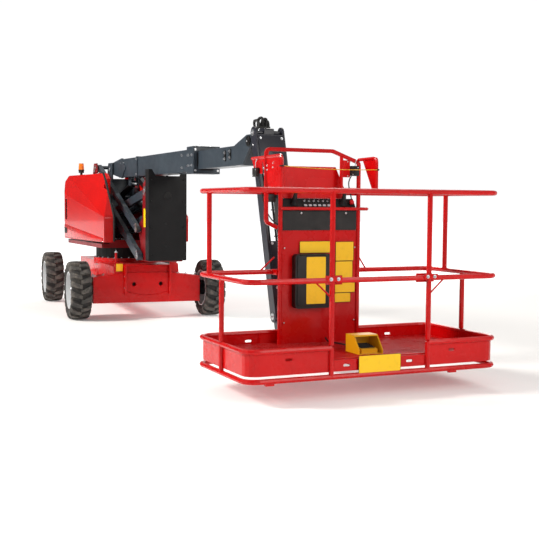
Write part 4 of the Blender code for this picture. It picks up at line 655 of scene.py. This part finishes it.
def makeFrontDetail():  # folded top ledge, curved stiffener under the tower and small gussets
    bm = bmesh.new()
    addTube(bm, smoothPath([(1.199, -0.245, 0.300), (1.201, -0.12, 0.268), (1.201, 0.0, 0.258),
                            (1.201, 0.12, 0.268),
                            (1.199, 0.245, 0.300)], 6), 0.006, 8)
    addBox(bm, (0.80, -0.243, 0.5855), (1.205, 0.243, 0.5955), 0.002)
    for side in (-1, 1):
        low, high = sorted((side * 0.239, side * 0.263))
        addBox(bm, (1.2312, low, 0.262), (1.2372, high, 0.5985), 0.0015)
        corners = [(0.0, 0.0), (0.105, -0.008), (0.098, 0.094), (0.072, 0.112), (0.0, 0.112)]
        place = Matrix.Translation(Vector((1.150, side * 0.262, 0.508))) @ Matrix(
            ((0, 0, 1, 0), (side, 0, 0, 0), (0, 1, 0, 0), (0, 0, 0, 1)))
        addPlate(bm, corners, 0.010, place, 0.001)
    finishPiece("tower_folds", bm, "redEnamel", "chassis", chassisPlace)


def makeLockPin():
    bm = bmesh.new()
    addRod(bm, (0.93, -0.30, 0.722), (0.93, -0.30, 0.731), 0.019, 16, edge=0.002)
    addTube(bm, hoop((0.93, -0.30, 0.738), 0.0115, "xz", 18), 0.003, 8, closed=True)
    finishPiece("turret_lock_cap", bm, "zincPlate", "chassis", chassisPlace)


def makeSteeringGear():  # track rod and cylinder that sit behind the rear beam
    rodPiece = bmesh.new()
    addRod(rodPiece, (-1.175, -0.30, 0.300), (-1.175, 0.30, 0.300), 0.011, 14)
    finishPiece("steering_rod", rodPiece, "chromedRod", "chassis", chassisPlace)
    bm = bmesh.new()
    addRod(bm, (-1.175, -0.17, 0.300), (-1.175, 0.17, 0.300), 0.029, 20, edge=0.002)
    for side in (-1, 1):
        addRod(bm, (-1.175, side * 0.150, 0.300), (-1.175, side * 0.176, 0.300), 0.034, 20, edge=0.002)
        addBox(bm, (-1.185, side * 0.12 - 0.012, 0.268), (-1.135, side * 0.12 + 0.012, 0.332), 0.003)
    finishPiece("steering_cylinder", bm, "blackPowder", "chassis", chassisPlace)


def makeHoses(name, runs, radius, body, place=turretPlace, look="hoseRubber"):
    bm = bmesh.new()
    for run in runs:
        addTube(bm, smoothPath(run, 6), radius, 10)
    finishPiece(name, bm, look, body, place)


def makeFerrules(name, spots, radius, length, body, place=turretPlace):
    # crimped hose ends: (point, direction)
    bm = bmesh.new()
    for point, direction in spots:
        start = Vector(point)
        along = Vector(direction).normalized()
        addRod(bm, start, start + along * length * 0.55, radius * 1.22, 14, edge=radius * 0.12)
        addRod(bm, start + along * length * 0.5, start + along * length * 0.8, radius * 1.45, 6,
               edge=radius * 0.1)
        addRod(bm, start + along * length * 0.75, start + along * length, radius * 0.95, 12)
    finishPiece(name, bm, "zincPlate", body, place, 30)


def makePlates(name, plates, body, place=turretPlace, look="yellowVinyl", thick=0.0009):
    # each plate: centre, normal, width, height, corner radius; a dark printed line runs round its edge
    film = bmesh.new()
    border = bmesh.new()
    for centre, normal, width, height, radius in plates:
        spot = facingPlace(Vector(centre), normal)
        addPlate(film, roundedOutline(width - 0.005, height - 0.005, radius), thick, spot)
        addPlate(border, roundedOutline(width, height, radius), thick * 0.6, spot)
    finishPiece(name, film, look, body, place)
    finishPiece(name + "_edges", border, "sealRubber", body, place)


makeChassisBolts()
makeTowRings()
makeFrontDetail()
makeLockPin()
makeSteeringGear()
makePlates("chassis_labels", [((1.1605, -0.307, 0.567), (1, 0, 0), 0.078, 0.088, 0.004)],
           "chassis", chassisPlace)
makeHoses("chassis_hoses",
          [[(-1.06, side * 0.10, 0.43), (-1.14, side * 0.12, 0.42), (-1.172, side * 0.13, 0.36),
                             (-1.175, side * 0.13, 0.325)] for side in (1, -1)],
          0.008, "chassis", chassisPlace)
print("chassis ready")


hoodSet = {
    "sealRadius": 0.013,
    "hingeX": (-0.92, -0.10),
    "hingeHalf": 0.055,
    "bottom": 0.842,  # lower edge of the side panel
}


def makeHoodTrim(side, hand):
    body = hand + "_hood"
    inner = side * 0.385
    seal = bmesh.new()
    edge = [(0.405, inner, 1.628), (0.47, inner, 1.585), (0.62, inner, 1.420), (0.745, inner, 1.275),
            (0.868, inner, 1.135),
            (0.872, inner, 1.05), (0.872, inner, 0.845)]
    addTube(seal, edge, hoodSet["sealRadius"], 8)
    finishPiece(hand + "_hood_seal", seal, "sealRubber", body)
    skirt = bmesh.new()
    face = facingPlace((0, side * 0.5003, 0), (0, side, 0))
    flip = face.to_3x3().col[0].x
    bottom = hoodSet["bottom"]
    corners = [(-1.118, bottom), (0.80, bottom), (0.80, bottom + 0.038), (-1.118, bottom + 0.160)]
    addPlate(skirt, [(x * flip, z) for x, z in (corners if flip > 0 else reversed(corners))], 0.007, face,
             0.0045)
    finishPiece(hand + "_hood_skirt", skirt, "hoodEnamel", body)
    pull = bmesh.new()
    addPlate(pull, roundedOutline(0.150, 0.074, 0.016), 0.0015,
             facingPlace((-1.030, side * 0.5075, 0.925), (0, side, 0)), 0.0005)
    addTube(pull, [(-1.120, side * 0.5095, 0.957), (-0.970, side * 0.5095, 0.957)], 0.0035, 8)
    finishPiece(hand + "_hood_pull", pull, "blackPlastic", body)
    hinge = bmesh.new()
    half = hoodSet["hingeHalf"]
    for x in hoodSet["hingeX"]:
        addBox(hinge, (x - half, side * 0.318 - 0.016, 1.6305), (x + half, side * 0.318 + 0.016, 1.6345),
               0.001)
        addRod(hinge, (x - half, side * 0.302, 1.637), (x + half, side * 0.302, 1.637), 0.007, 12,
               edge=0.001)
    finishPiece(hand + "_hood_hinges", hinge, "hoodEnamel", body)
    bolts = bmesh.new()
    for x in (-0.955, -0.885, -0.135, -0.065):
        addDome(bolts, (x, side * 0.325, 1.6345), (0, 0, 1), 0.0065)
    for x in (-1.16, -0.60, 0.20, 0.80):
        addDome(bolts, (x, side * 0.4995, 0.845), (0, side, 0), 0.0075)
    finishPiece(hand + "_hood_screws", bolts, "zincPlate", body)


def makeGrille(side, hand):  # slats inside the vent cut through the hood's side
    bm = bmesh.new()
    y = side * 0.4895
    for step in range(9):
        z = 1.084 + 0.0285 * step
        addBox(bm, (-1.103, min(y, y - side * 0.006), z), (-0.987, max(y, y - side * 0.006), z + 0.010),
               0.0015)
    finishPiece(hand + "_hood_vent_slats", bm, "blackPowder", hand + "_hood")


def makeBeaconDetail():
    x, y = -0.78, -0.36
    bm = bmesh.new()
    for z in (1.690, 1.6975):
        addTube(bm, hoop((x, y, z), 0.0365, "xy", 28), 0.0028, 8, closed=True)
    for a in turns(3):
        addDome(bm, (x + 0.030 * math.cos(a), y + 0.030 * math.sin(a), 1.6302), (0, 0, 1), 0.004)
    finishPiece("beacon_rings", bm, "blackPlastic", "right_hood")


def makeGroundBox():  # control box for use from the ground, on the left of the frame under the arms
    bm = bmesh.new()
    addBox(bm, (-0.02, 0.292, 1.275), (0.13, 0.372, 1.455), 0.006)
    finishPiece("ground_box", bm, "blackPlastic", "turret")
    knobs = bmesh.new()
    for step in range(3):
        for row in range(2):
            spot = Vector((0.025 + 0.030 * step, 0.372, 1.33 + 0.05 * row))
            addRod(knobs, spot, spot + Vector((0, 0.003, 0)), 0.008, 14)
            addRod(knobs, spot, spot + Vector((0, 0.016, 0.004)), 0.0028, 8, 0.0036)
    finishPiece("ground_box_switches", knobs, "zincPlate", "turret")


def makePinKeepers(name, pins, body):  # each: x, z, side, outer y, plate angle in degrees
    metal = bmesh.new()
    bolts = bmesh.new()
    for x, z, side, y, angle in pins:
        point = Vector((x, side * y, z))
        addRod(metal, point, point + Vector((0, side * 0.006, 0)), 0.034, 24, edge=0.0015)
        a = math.radians(angle)
        tail = point + Vector((math.cos(a), 0, math.sin(a))) * 0.052
        place = facingPlace(point.lerp(tail, 0.55) + Vector((0, side * 0.001, 0)), (0, side, 0),
                            (math.cos(a), 0, math.sin(a)))
        addPlate(metal, roundedOutline(0.026, 0.082, 0.012), 0.006, place, 0.001)
        addBolt(bolts, tail + Vector((0, side * 0.006, 0)), (0, side, 0), 0.013)
        addDome(bolts, point + Vector((0, side * 0.006, 0)), (0, side, 0), 0.008)
    finishPiece(name, metal, "zincPlate", body)
    finishPiece(name + "_bolts", bolts, "zincPlate", body)


for side, hand in ((-1, "right"), (1, "left")):
    makeHoodTrim(side, hand)
    makeGrille(side, hand)
makeBeaconDetail()
makeGroundBox()
makePinKeepers("arm_foot_keepers", [(x, z, side, 0.2685, angle) for side in (-1, 1)
                                    for x, z, angle in ((-0.38, 1.43, 250), (-0.43, 1.72, 250))], "turret")
makeHoses("turret_hoses", [[(-0.55, 0.17 - 0.034 * n, 0.83), (-0.50, 0.17 - 0.034 * n, 1.00),
                            (-0.46, 0.16 - 0.034 * n, 1.22), (-0.42, 0.15 - 0.032 * n, 1.36),
                            (-0.34, 0.14 - 0.030 * n, 1.40)] for n in range(7)], 0.011, "turret")
makeFerrules("turret_hose_ends", [((-0.55, 0.17 - 0.034 * n, 0.835), (0, 0, -1)) for n in range(7)], 0.011,
             0.024, "turret")
print("turret ready")


boomSet = {
    "axisZ": 1.693,
    "outerHalfWidth": 0.111,
    "outerHalfHeight": 0.1075,
}

armPins = ((1.27, 0.70, 90), (1.22, 0.99, 90), (1.36, 1.43, 250))
for side, hand in ((-1, "right"), (1, "left")):
    for (x, z, angle), y, owner in zip(armPins, (0.2385, 0.2385, 0.1755),
                                       ("lower_arm", "lower_tie", "front_knuckle")):
        makePinKeepers(f"{hand}_keeper_{round(x * 100)}_{round(z * 100)}", [(x, z, side, y, angle)], owner)
makePinKeepers("rear_knuckle_keepers", [(x, z, side, 0.1435, angle) for side in (-1, 1)
                                        for x, z, angle in ((-0.20, 1.700, 200),)], "rear_knuckle")


def makeKnuckleCoverDetail():
    face = 1.6225
    bolts = bmesh.new()
    for y in (-0.180, 0.180):
        for z in (0.72, 1.02, 1.30, 1.53):
            addBolt(bolts, (face, y, z), (1, 0, 0), 0.015)
    finishPiece("knuckle_cover_bolts", bolts, "blackPowder", "front_knuckle")
    rims = bmesh.new()
    for y, z, radius in ((0.0, 1.36, 0.040), (-0.02, 1.06, 0.011), (-0.02, 0.82, 0.011)):
        addTube(rims, hoop((face, y, z), radius, "yz", 28), 0.0032, 8, closed=True)
        addRod(rims, (face - 0.0005, y, z), (face + 0.0008, y, z), radius * 0.93, 28)
    finishPiece("knuckle_cover_rims", rims, "sealRubber", "front_knuckle")
    fold = bmesh.new()
    for side in (-1, 1):
        addTube(fold, [(face - 0.004, side * 0.209, 0.68), (face - 0.004, side * 0.209, 1.63)], 0.0045, 8)
    finishPiece("knuckle_cover_folds", fold, "blackPowder", "front_knuckle")


makeKnuckleCoverDetail()
makePlates("knuckle_labels",
           [((1.372, side * 0.1753, 1.118), (0, side, 0), 0.115, 0.205, 0.006) for side in (-1, 1)],
           "front_knuckle")
makePlates("rear_knuckle_labels", [((-0.21, -0.1435, 1.20), (0, -1, 0), 0.060, 0.120, 0.005)],
           "rear_knuckle")
makeHoses("arm_hoses", [[(-0.22, 0.135 - 0.024 * n, 1.335), (0.2, 0.135 - 0.024 * n, 1.215),
                         (0.6, 0.135 - 0.024 * n, 1.03),
                         (1.0, 0.135 - 0.024 * n, 0.85), (1.20, 0.135 - 0.024 * n, 0.79)] for n in range(3)],
          0.010, "lower_arm")


def makeArmClamps():  # cross plates that hold the hoses under the lower arm, and pads on the arms
    bm = bmesh.new()
    for share in (0.25, 0.60, 0.85):
        x = -0.38 + 1.65 * share
        z = 1.43 - 0.73 * share
        addBox(bm, (x - 0.018, -0.189, z - 0.060), (x + 0.018, 0.189, z - 0.052), 0.002)
        addBox(bm, (x - 0.014, 0.070, z - 0.052), (x + 0.014, 0.150, z - 0.020), 0.004)
    finishPiece("arm_cross_plates", bm, "slateEnamel", "lower_arm")


makeArmClamps()


def makeCollarDetail():
    z = boomSet["axisZ"]
    wide = boomSet["outerHalfWidth"] + 0.024
    tall = boomSet["outerHalfHeight"] + 0.024
    bolts = bmesh.new()
    for side in (-1, 1):
        for x in (2.655, 2.755):
            for dz in (-0.050, 0.050):
                addBolt(bolts, (x, side * wide, z + dz), (0, side, 0), 0.018)
            addBolt(bolts, (x, side * 0.055, z + tall), (0, 0, 1), 0.018)
    for y in (-0.103, 0.103):
        for dz in (-0.100, 0.100):
            addBolt(bolts, (2.8005, y * 1.12, z + dz), (1, 0, 0), 0.013)
    finishPiece("collar_bolts", bolts, "zincPlate", "boom")
    pads = bmesh.new()
    for side in (-1, 1):
        addBox(pads, (2.790, side * 0.0935 - 0.005, z - 0.060), (2.807, side * 0.0935 + 0.005, z + 0.060),
               0.001)
        addBox(pads, (2.790, -0.060, z + side * 0.0925 - 0.005), (2.807, 0.060, z + side * 0.0925 + 0.005),
               0.001)
    finishPiece("boom_wear_pads", pads, "blackPlastic", "boom")
    lip = bmesh.new()
    corners = [(2.799, sy * (wide - 0.006), z + sz * (tall - 0.006)) for sy,
               sz in ((1, 1), (-1, 1), (-1, -1), (1, -1))]
    addTube(lip, corners, 0.0045, 8, closed=True)
    finishPiece("collar_weld", lip, "slateEnamel", "boom")


def makeBoomSides():
    z = boomSet["axisZ"]
    half = boomSet["outerHalfWidth"]
    bolts = bmesh.new()
    for side in (-1, 1):
        for x, dz in ((2.40, -0.062), (2.40, 0.062), (0.20, 0.060), (0.32, 0.060), (0.86, 0.085),
                      (0.86, -0.085)):
            addBolt(bolts, (x, side * (half + (0.0005 if x != 0.86 else 0.008)), z + dz), (0, side, 0),
                    0.017)
    finishPiece("boom_bolts", bolts, "zincPlate", "boom")
    tray = bmesh.new()
    addBox(tray, (0.30, half + 0.004, z - 0.036), (2.52, half + 0.034, z - 0.030), 0.001)
    addBox(tray, (0.30, half + 0.0005, z - 0.036), (2.52, half + 0.006, z + 0.034), 0.001)
    for x in (0.42, 1.0, 1.6, 2.2):
        addBox(tray, (x - 0.02, half + 0.004, z - 0.032), (x + 0.02, half + 0.038, z + 0.030), 0.002)
    finishPiece("boom_hose_tray", tray, "slateEnamel", "boom")
    runs = []
    for n in range(3):
        level = z - 0.020 + 0.016 * n
        runs.append([(0.10, half + 0.010, 1.62 + 0.013 * n), (0.30, half + 0.020, level),
                     (1.2, half + 0.020, level), (2.50, half + 0.020, level),
                     (2.585, half + 0.016, z - 0.010 + 0.014 * n)])
    makeHoses("boom_hoses", runs, 0.0075, "boom")


def makeInnerTubeDetail():
    z = boomSet["axisZ"]
    fittings = bmesh.new()
    collars = bmesh.new()
    for x, dz in ((3.50, 0.010), (3.62, 0.018)):
        for side in (-1, 1):
            addPlate(collars, roundedOutline(0.042, 0.098, 0.020), 0.006,
                     facingPlace((x, side * 0.0872, z + dz), (0, side, 0)), 0.001)
            for shift in (-0.027, 0.027):
                addBolt(fittings, (x, side * 0.0932, z + dz + shift), (0, side, 0), 0.017)
    finishPiece("boom_nose_pads", collars, "blackPowder", "boom_extension")
    keeper = bmesh.new()
    for side in (-1, 1):
        point = Vector((4.07, side * 0.1035, 1.800))
        addRod(keeper, point, point + Vector((0, side * 0.012, 0)), 0.046, 30, 0.042, 0.002)
        addRod(keeper, point, point + Vector((0, side * 0.017, 0)), 0.024, 24, 0.022, 0.002)
        addDome(fittings, point + Vector((0, side * 0.017, 0)), (0, side, 0), 0.008)
    finishPiece("nose_pin_caps", keeper, "blackPowder", "boom_extension")
    finishPiece("boom_nose_bolts", fittings, "zincPlate", "boom_extension")
    runs = []
    for n in range(4):
        shift = 0.022 * n
        runs.append([(3.98, shift - 0.030, 1.783), (4.00, shift - 0.034, 1.84 + 0.004 * n),
                     (4.045, shift - 0.036, 1.900 + 0.006 * n), (4.085, shift - 0.036, 1.915)])
    makeHoses("nose_hoses", runs, 0.0085, "boom_extension")


makeCollarDetail()
makeBoomSides()
makeInnerTubeDetail()
print("arms and boom ready")


jibSet = {
    "top": (4.22, 1.860),
    "reach": 0.42,
    "drop": 1.47,
    "covers": ((0.195, 0.30), (1.13, 0.40)),  # metres down the jib, and height, of each bolted plate
}


def jibPoint(along, across=0.0, y=0.0):
    # metres down the jib from its top pin, and forward of its centre line
    direction = Vector((jibSet["reach"], 0, -jibSet["drop"])).normalized()
    forward = Vector((-direction.z, 0, direction.x))
    return Vector((jibSet["top"][0], y, jibSet["top"][1])) + direction * along + forward * across


def makeJibCover():  # bolted front plate near the top and a second one low down
    normal = jibPoint(0, 1) - jibPoint(0)
    plates = bmesh.new()
    for along, height in jibSet["covers"]:
        place = facingPlace(jibPoint(along, 0.0545), normal)
        addPlate(plates, roundedOutline(0.225, height, 0.008), 0.006, place, 0.001)
    finishPiece("jib_covers", plates, "jibEnamel", "jib_arm")
    bolts = bmesh.new()
    for along, height in jibSet["covers"]:
        for y in (-0.095, 0.095):
            for shift in (-height / 2 + 0.020, height / 2 - 0.020):
                addBolt(bolts, jibPoint(along + shift, 0.0605, y), normal, 0.012)
    for side in (-1, 1):
        for along in (0.0, 1.529):
            point = jibPoint(along, 0.0, side * 0.1305)
            addRod(bolts, point, point + Vector((0, side * 0.006, 0)), 0.028, 22, edge=0.0015)
            addBolt(bolts, point + Vector((0, side * 0.006, 0)), (0, side, 0), 0.016)
        for along in (0.10, 0.28):
            addDome(bolts, jibPoint(along, -0.020, side * 0.1305), (0, side, 0), 0.008)
    finishPiece("jib_bolts", bolts, "zincPlate", "jib_arm")


def makeJibHoses():
    bm = bmesh.new()
    for n in range(4):
        y = -0.036 + 0.024 * n
        run = [jibPoint(0.055, 0.030, y), jibPoint(0.20, 0.020, y * 0.9),
               jibPoint(0.55, 0.012 + 0.004 * n, y * 0.85),
               jibPoint(0.95, 0.016, y * 0.9), jibPoint(1.30, 0.022, y), jibPoint(1.42, 0.030, y)]
        addTube(bm, smoothPath(run, 8), 0.0095, 10)
    finishPiece("jib_hose_bundle", bm, "hoseRubber", "jib_arm")
    ties = bmesh.new()
    for along in (0.44, 0.66, 0.88):
        place = facingPlace(jibPoint(along, 0.018), jibPoint(1, 0) - jibPoint(0, 0),
                            jibPoint(0, 1) - jibPoint(0, 0))
        outline = roundedOutline(0.100, 0.032, 0.012)
        ring = [place @ Vector((x, y, 0)) for x, y in outline]
        addTube(ties, ring, 0.0025, 6, closed=True)
    finishPiece("jib_hose_ties", ties, "blackPlastic", "jib_arm")


makeJibCover()
makeJibHoses()
makeFerrules("jib_hose_ends", [((4.105 + dx, y, 1.898), (0, 0, -1)) for y in (-0.043, -0.014, 0.014, 0.040)
                               for dx in (0.046,)], 0.010, 0.020, "jib_head")
print("jib ready")


platformSet = {
    "floorTop": 0.262,
    "strandPitch": 0.062,  # long way of a diamond in the expanded metal
    "strandRise": 0.026,  # short way
    "strandHeight": 0.005,
    "panelX": 5.286,
    "edgeBar": (0.2622, 0.2702),  # bottom and top of the bars round the floor
}


def makeExpandedFloor():  # raised diamond strands laid on the floor sheet
    bm = bmesh.new()
    z = platformSet["floorTop"] + 0.0028
    pitch, rise = platformSet["strandPitch"], platformSet["strandRise"]
    lowX, highX, lowY, highY = 5.232, 6.018, -0.912, 0.912
    row = 0
    x = lowX
    while x + rise / 2 <= highX:
        points = []
        y = lowY
        turn = 0
        while y <= highY:
            swing = rise / 2 if (turn + row) % 2 else 0.0
            points.append((x + swing, y, z))
            y += pitch / 2
            turn += 1
        addTube(bm, points, platformSet["strandHeight"] / 2, 4)
        x += rise / 2 + 0.0005
        row += 1
    finishPiece("floor_strands", bm, "redEnamel", "platform", turretPlace, 60)


def makeFloorEdge():  # flat bars that frame the mesh, welded under the toe wall
    bm = bmesh.new()
    bottom, top = platformSet["edgeBar"]
    for lowX, highX, lowY, highY in ((5.226, 5.238, -0.925, 0.925), (6.014, 6.026, -0.925, 0.925),
                                     (5.226, 6.026, -0.925, -0.913), (5.226, 6.026, 0.913, 0.925)):
        addBox(bm, (lowX, lowY, bottom), (highX, highY, top), 0.001)
    finishPiece("floor_edge_bars", bm, "redEnamel", "platform")


def makeGateBrackets():
    plates = bmesh.new()
    bolts = bmesh.new()
    for y in (-0.352, 0.384):
        addPlate(plates, roundedOutline(0.110, 0.036, 0.012), 0.005,
                 facingPlace((6.0785, y, 0.794), (1, 0, 0)), 0.001)
        for dy in (-0.027, 0.027):
            addBolt(bolts, (6.0835, y + dy, 0.794), (1, 0, 0), 0.015)
    finishPiece("gate_brackets", plates, "redEnamel", "platform")
    finishPiece("gate_bolts", bolts, "zincPlate", "platform")


def makeGuardWire():  # thin warning cord from one hand guard to the other, with a clip at each end
    cord = bmesh.new()
    path = []
    for step in range(25):
        share = step / 24
        path.append((5.560, -0.482 + 0.748 * share,
                     1.536 - 0.012 * share - 0.010 * math.sin(math.pi * share)))
    addTube(cord, path, 0.0028, 8)
    finishPiece("guard_cord", cord, "yellowEnamel", "platform")
    clips = bmesh.new()
    for y, z in ((-0.482, 1.536), (0.266, 1.524)):
        addTube(clips, hoop((5.542, y, z), 0.0165, "xy", 18), 0.0038, 8, closed=True)
        addRod(clips, (5.556, y, z), (5.568, y, z), 0.006, 10, edge=0.001)
    finishPiece("guard_cord_clips", clips, "blackPlastic", "platform")


def makeLimitSwitches():
    body = bmesh.new()
    addBox(body, (5.095, -0.512, 1.470), (5.170, -0.4855, 1.535), 0.004)
    addBox(body, (5.262, 0.196, 1.486), (5.298, 0.262, 1.560), 0.004)
    addBox(body, (5.180, -0.470, 1.290), (5.232, -0.385, 1.345), 0.004)
    finishPiece("guard_switches", body, "blackPlastic", "platform")
    levers = bmesh.new()
    addTube(levers, [(5.130, -0.500, 1.534), (5.130, -0.500, 1.575), (5.150, -0.495, 1.600)], 0.0035, 8)
    addTube(levers, [(5.290, 0.230, 1.558), (5.292, 0.232, 1.590), (5.300, 0.240, 1.612)], 0.0035, 8)
    for point, normal in (((5.110, -0.5125, 1.482), (0, -1, 0)), ((5.155, -0.5125, 1.522), (0, -1, 0)),
                          ((5.2985, 0.208, 1.498), (1, 0, 0)), ((5.2985, 0.250, 1.548), (1, 0, 0))):
        addDome(levers, point, normal, 0.0045)
    finishPiece("guard_switch_levers", levers, "zincPlate", "platform")
    cable = bmesh.new()
    addTube(cable, smoothPath([(5.165, -0.500, 1.480), (5.200, -0.500, 1.440), (5.235, -0.497, 1.36),
                               (5.262, -0.478, 1.24),
                               (5.262, -0.420, 1.155), (5.262, -0.350, 1.120)], 6), 0.0045, 8)
    addTube(cable, smoothPath([(5.280, 0.205, 1.488), (5.268, 0.190, 1.43), (5.262, 0.215, 1.33),
                               (5.262, 0.238, 1.22),
                               (5.262, 0.236, 1.12)], 6), 0.0045, 8)
    finishPiece("guard_switch_cables", cable, "hoseRubber", "platform")


def makeGuardBolts():
    bm = bmesh.new()
    for x, z in ((5.300, 1.545), (5.300, 1.515), (5.400, 1.560), (5.400, 1.530)):
        addDome(bm, (x, -0.4855, z), (0, -1, 0), 0.0065)
    for y in (0.172, 0.196):
        for z in (1.485, 1.590):
            addDome(bm, (5.2835, y, z), (1, 0, 0), 0.005)
    finishPiece("guard_bolts", bm, "zincPlate", "platform")


def makeConsoleDetail():
    face = platformSet["panelX"]
    screws = bmesh.new()
    for y in (-0.205, 0.160):
        addDome(screws, (face, y, 1.212), (1, 0, 0), 0.0085)
    finishPiece("console_bolts", screws, "zincPlate", "platform")
    # the sloping panel rises from the front edge to the top, so its own frame is worked out from those two
    # edges
    rise = Vector((-0.055, 0, 0.073))
    normal = Vector((0.073, 0, 0.055)).normalized()
    middle = Vector((face, -0.052, 1.245)) + rise / 2

    def onPanel(y, share, lift=0.0):
        return Vector((face, y, 1.245)) + rise * share + normal * lift

    overlay = bmesh.new()
    addPlate(overlay, roundedOutline(0.270, 0.078, 0.008), 0.0020,
             facingPlace(middle + normal * 0.0006, normal), 0.0006)
    finishPiece("console_overlay", overlay, "sealRubber", "platform")
    toggles = bmesh.new()
    caps = bmesh.new()
    for step in range(7):
        y = -0.166 + 0.038 * step
        spot = onPanel(y, 0.70, 0.002)
        addRod(toggles, spot, spot + normal * 0.004, 0.0075, 16, edge=0.0008)
        addRod(toggles, spot, spot + normal * 0.018 + Vector((0, 0, 0.006 if step % 2 else -0.002)), 0.0024,
               8, 0.0034)
        spot = onPanel(y, 0.28, 0.002)
        addPlate(caps, roundedOutline(0.024, 0.016, 0.003), 0.005, facingPlace(spot, normal), 0.001)
    finishPiece("console_toggles", toggles, "zincPlate", "platform")
    finishPiece("console_keys", caps, "greyPlastic", "platform")
    stop = bmesh.new()
    spot = onPanel(0.216, 0.52, 0.0)
    addRod(stop, spot, spot + normal * 0.016, 0.011, 18, edge=0.001)
    addRod(stop, spot + normal * 0.014, spot + normal * 0.026, 0.019, 24, 0.0165, 0.003)
    finishPiece("console_stop_button", stop, "redPlastic", "platform")
    boots = bmesh.new()
    for y in (-0.252, 0.148):
        foot = Vector((face - 0.034, y, 1.278))
        tip = Vector((face - 0.016, y, 1.322))
        for step in range(5):
            first = foot.lerp(tip, step / 5)
            second = foot.lerp(tip, (step + 1) / 5)
            radius = 0.036 - 0.0045 * step
            addRod(boots, first, first.lerp(second, 0.62), radius, 22, radius * 0.93, 0.0012)
        addRod(boots, Vector((face - 0.004, y, 1.352)), Vector((face + 0.002, y, 1.374)), 0.0165, 22, 0.0230,
               0.003)
        addRod(boots, Vector((face + 0.002, y, 1.373)), Vector((face + 0.005, y, 1.391)), 0.0230, 22, 0.0150,
               0.004)
    finishPiece("lever_boots", boots, "hoseRubber", "platform")


def makeColumnDetail():
    bolts = bmesh.new()
    for y in (-0.338, 0.236):
        for z in (0.42, 0.70, 0.96):
            addDome(bolts, (5.2875, y, z), (1, 0, 0), 0.0065)
    for y in (-0.235, -0.024):
        for z in (0.560, 0.880):
            addDome(bolts, (5.3405, y, z), (1, 0, 0), 0.0050)
    finishPiece("column_screws", bolts, "zincPlate", "platform")
    lid = bmesh.new()
    addPlate(lid, roundedOutline(0.262, 0.366, 0.022), 0.006,
             facingPlace((5.3405, -0.1295, 0.7225), (1, 0, 0)), 0.002)
    addTube(lid, [(5.346, -0.232, 0.9105), (5.346, -0.027, 0.9105)], 0.0055, 10)
    finishPiece("document_lid", lid, "blackPlastic", "platform")


def makeFootPedal():
    bm = bmesh.new()
    for step in range(6):
        x = 5.775 + 0.020 * step
        z = platformSet["floorTop"] + 0.0563 - 0.00275 * step
        addBox(bm, (x, -0.040, z - 0.002), (x + 0.009, 0.070, z + 0.003), 0.001)
    finishPiece("pedal_ribs", bm, "blackPlastic", "platform")
    cable = bmesh.new()
    addTube(cable, smoothPath([(5.738, 0.010, 0.290), (5.690, 0.012, 0.279), (5.58, 0.040, 0.2745),
                               (5.45, 0.030, 0.2745),
                               (5.345, 0.000, 0.2755), (5.305, -0.010, 0.300)], 6), 0.0055, 8)
    finishPiece("pedal_cable", cable, "hoseRubber", "platform")


def makeSwivelDetail():
    bm = bmesh.new()
    addRod(bm, (4.93, 0, 0.4352), (4.93, 0, 0.4420), 0.058, 28, edge=0.002)
    addRod(bm, (4.93, 0, 0.4420), (4.93, 0, 0.4500), 0.030, 6, edge=0.0015)
    for a in turns(8, 0.5):
        addBolt(bm, (4.93 + 0.045 * math.cos(a), 0.045 * math.sin(a), 0.4420), (0, 0, 1), 0.010)
    finishPiece("swivel_bolts", bm, "zincPlate", "platform_support")


makeExpandedFloor()
makeFloorEdge()
makeGateBrackets()
makeGuardWire()
makeLimitSwitches()
makeGuardBolts()
makeConsoleDetail()
makeColumnDetail()
makeFootPedal()
makeSwivelDetail()
columnLabels = ((-0.088, 0.965, 0.262, 0.086), (0.150, 0.932, 0.151, 0.142), (0.146, 0.790, 0.144, 0.138),
                (0.156, 0.666, 0.168, 0.080), (0.137, 0.590, 0.132, 0.070))  # centre, then width and height
makePlates("column_labels", [((5.2910, y, z), (1, 0, 0), width, height, 0.005)
                             for y, z, width, height in columnLabels], "platform")
makePlates("document_label", [((5.3470, -0.112, 0.727), (1, 0, 0), 0.160, 0.345, 0.006)], "platform")
makePlates("apron_label", [((6.0680, 0.001, 0.2165), (1, 0, 0), 0.322, 0.135, 0.006)], "platform",
           thick=0.0012)
print("platform ready")

bpy.context.scene.view_settings.view_transform = "Standard"
print("scene complete")
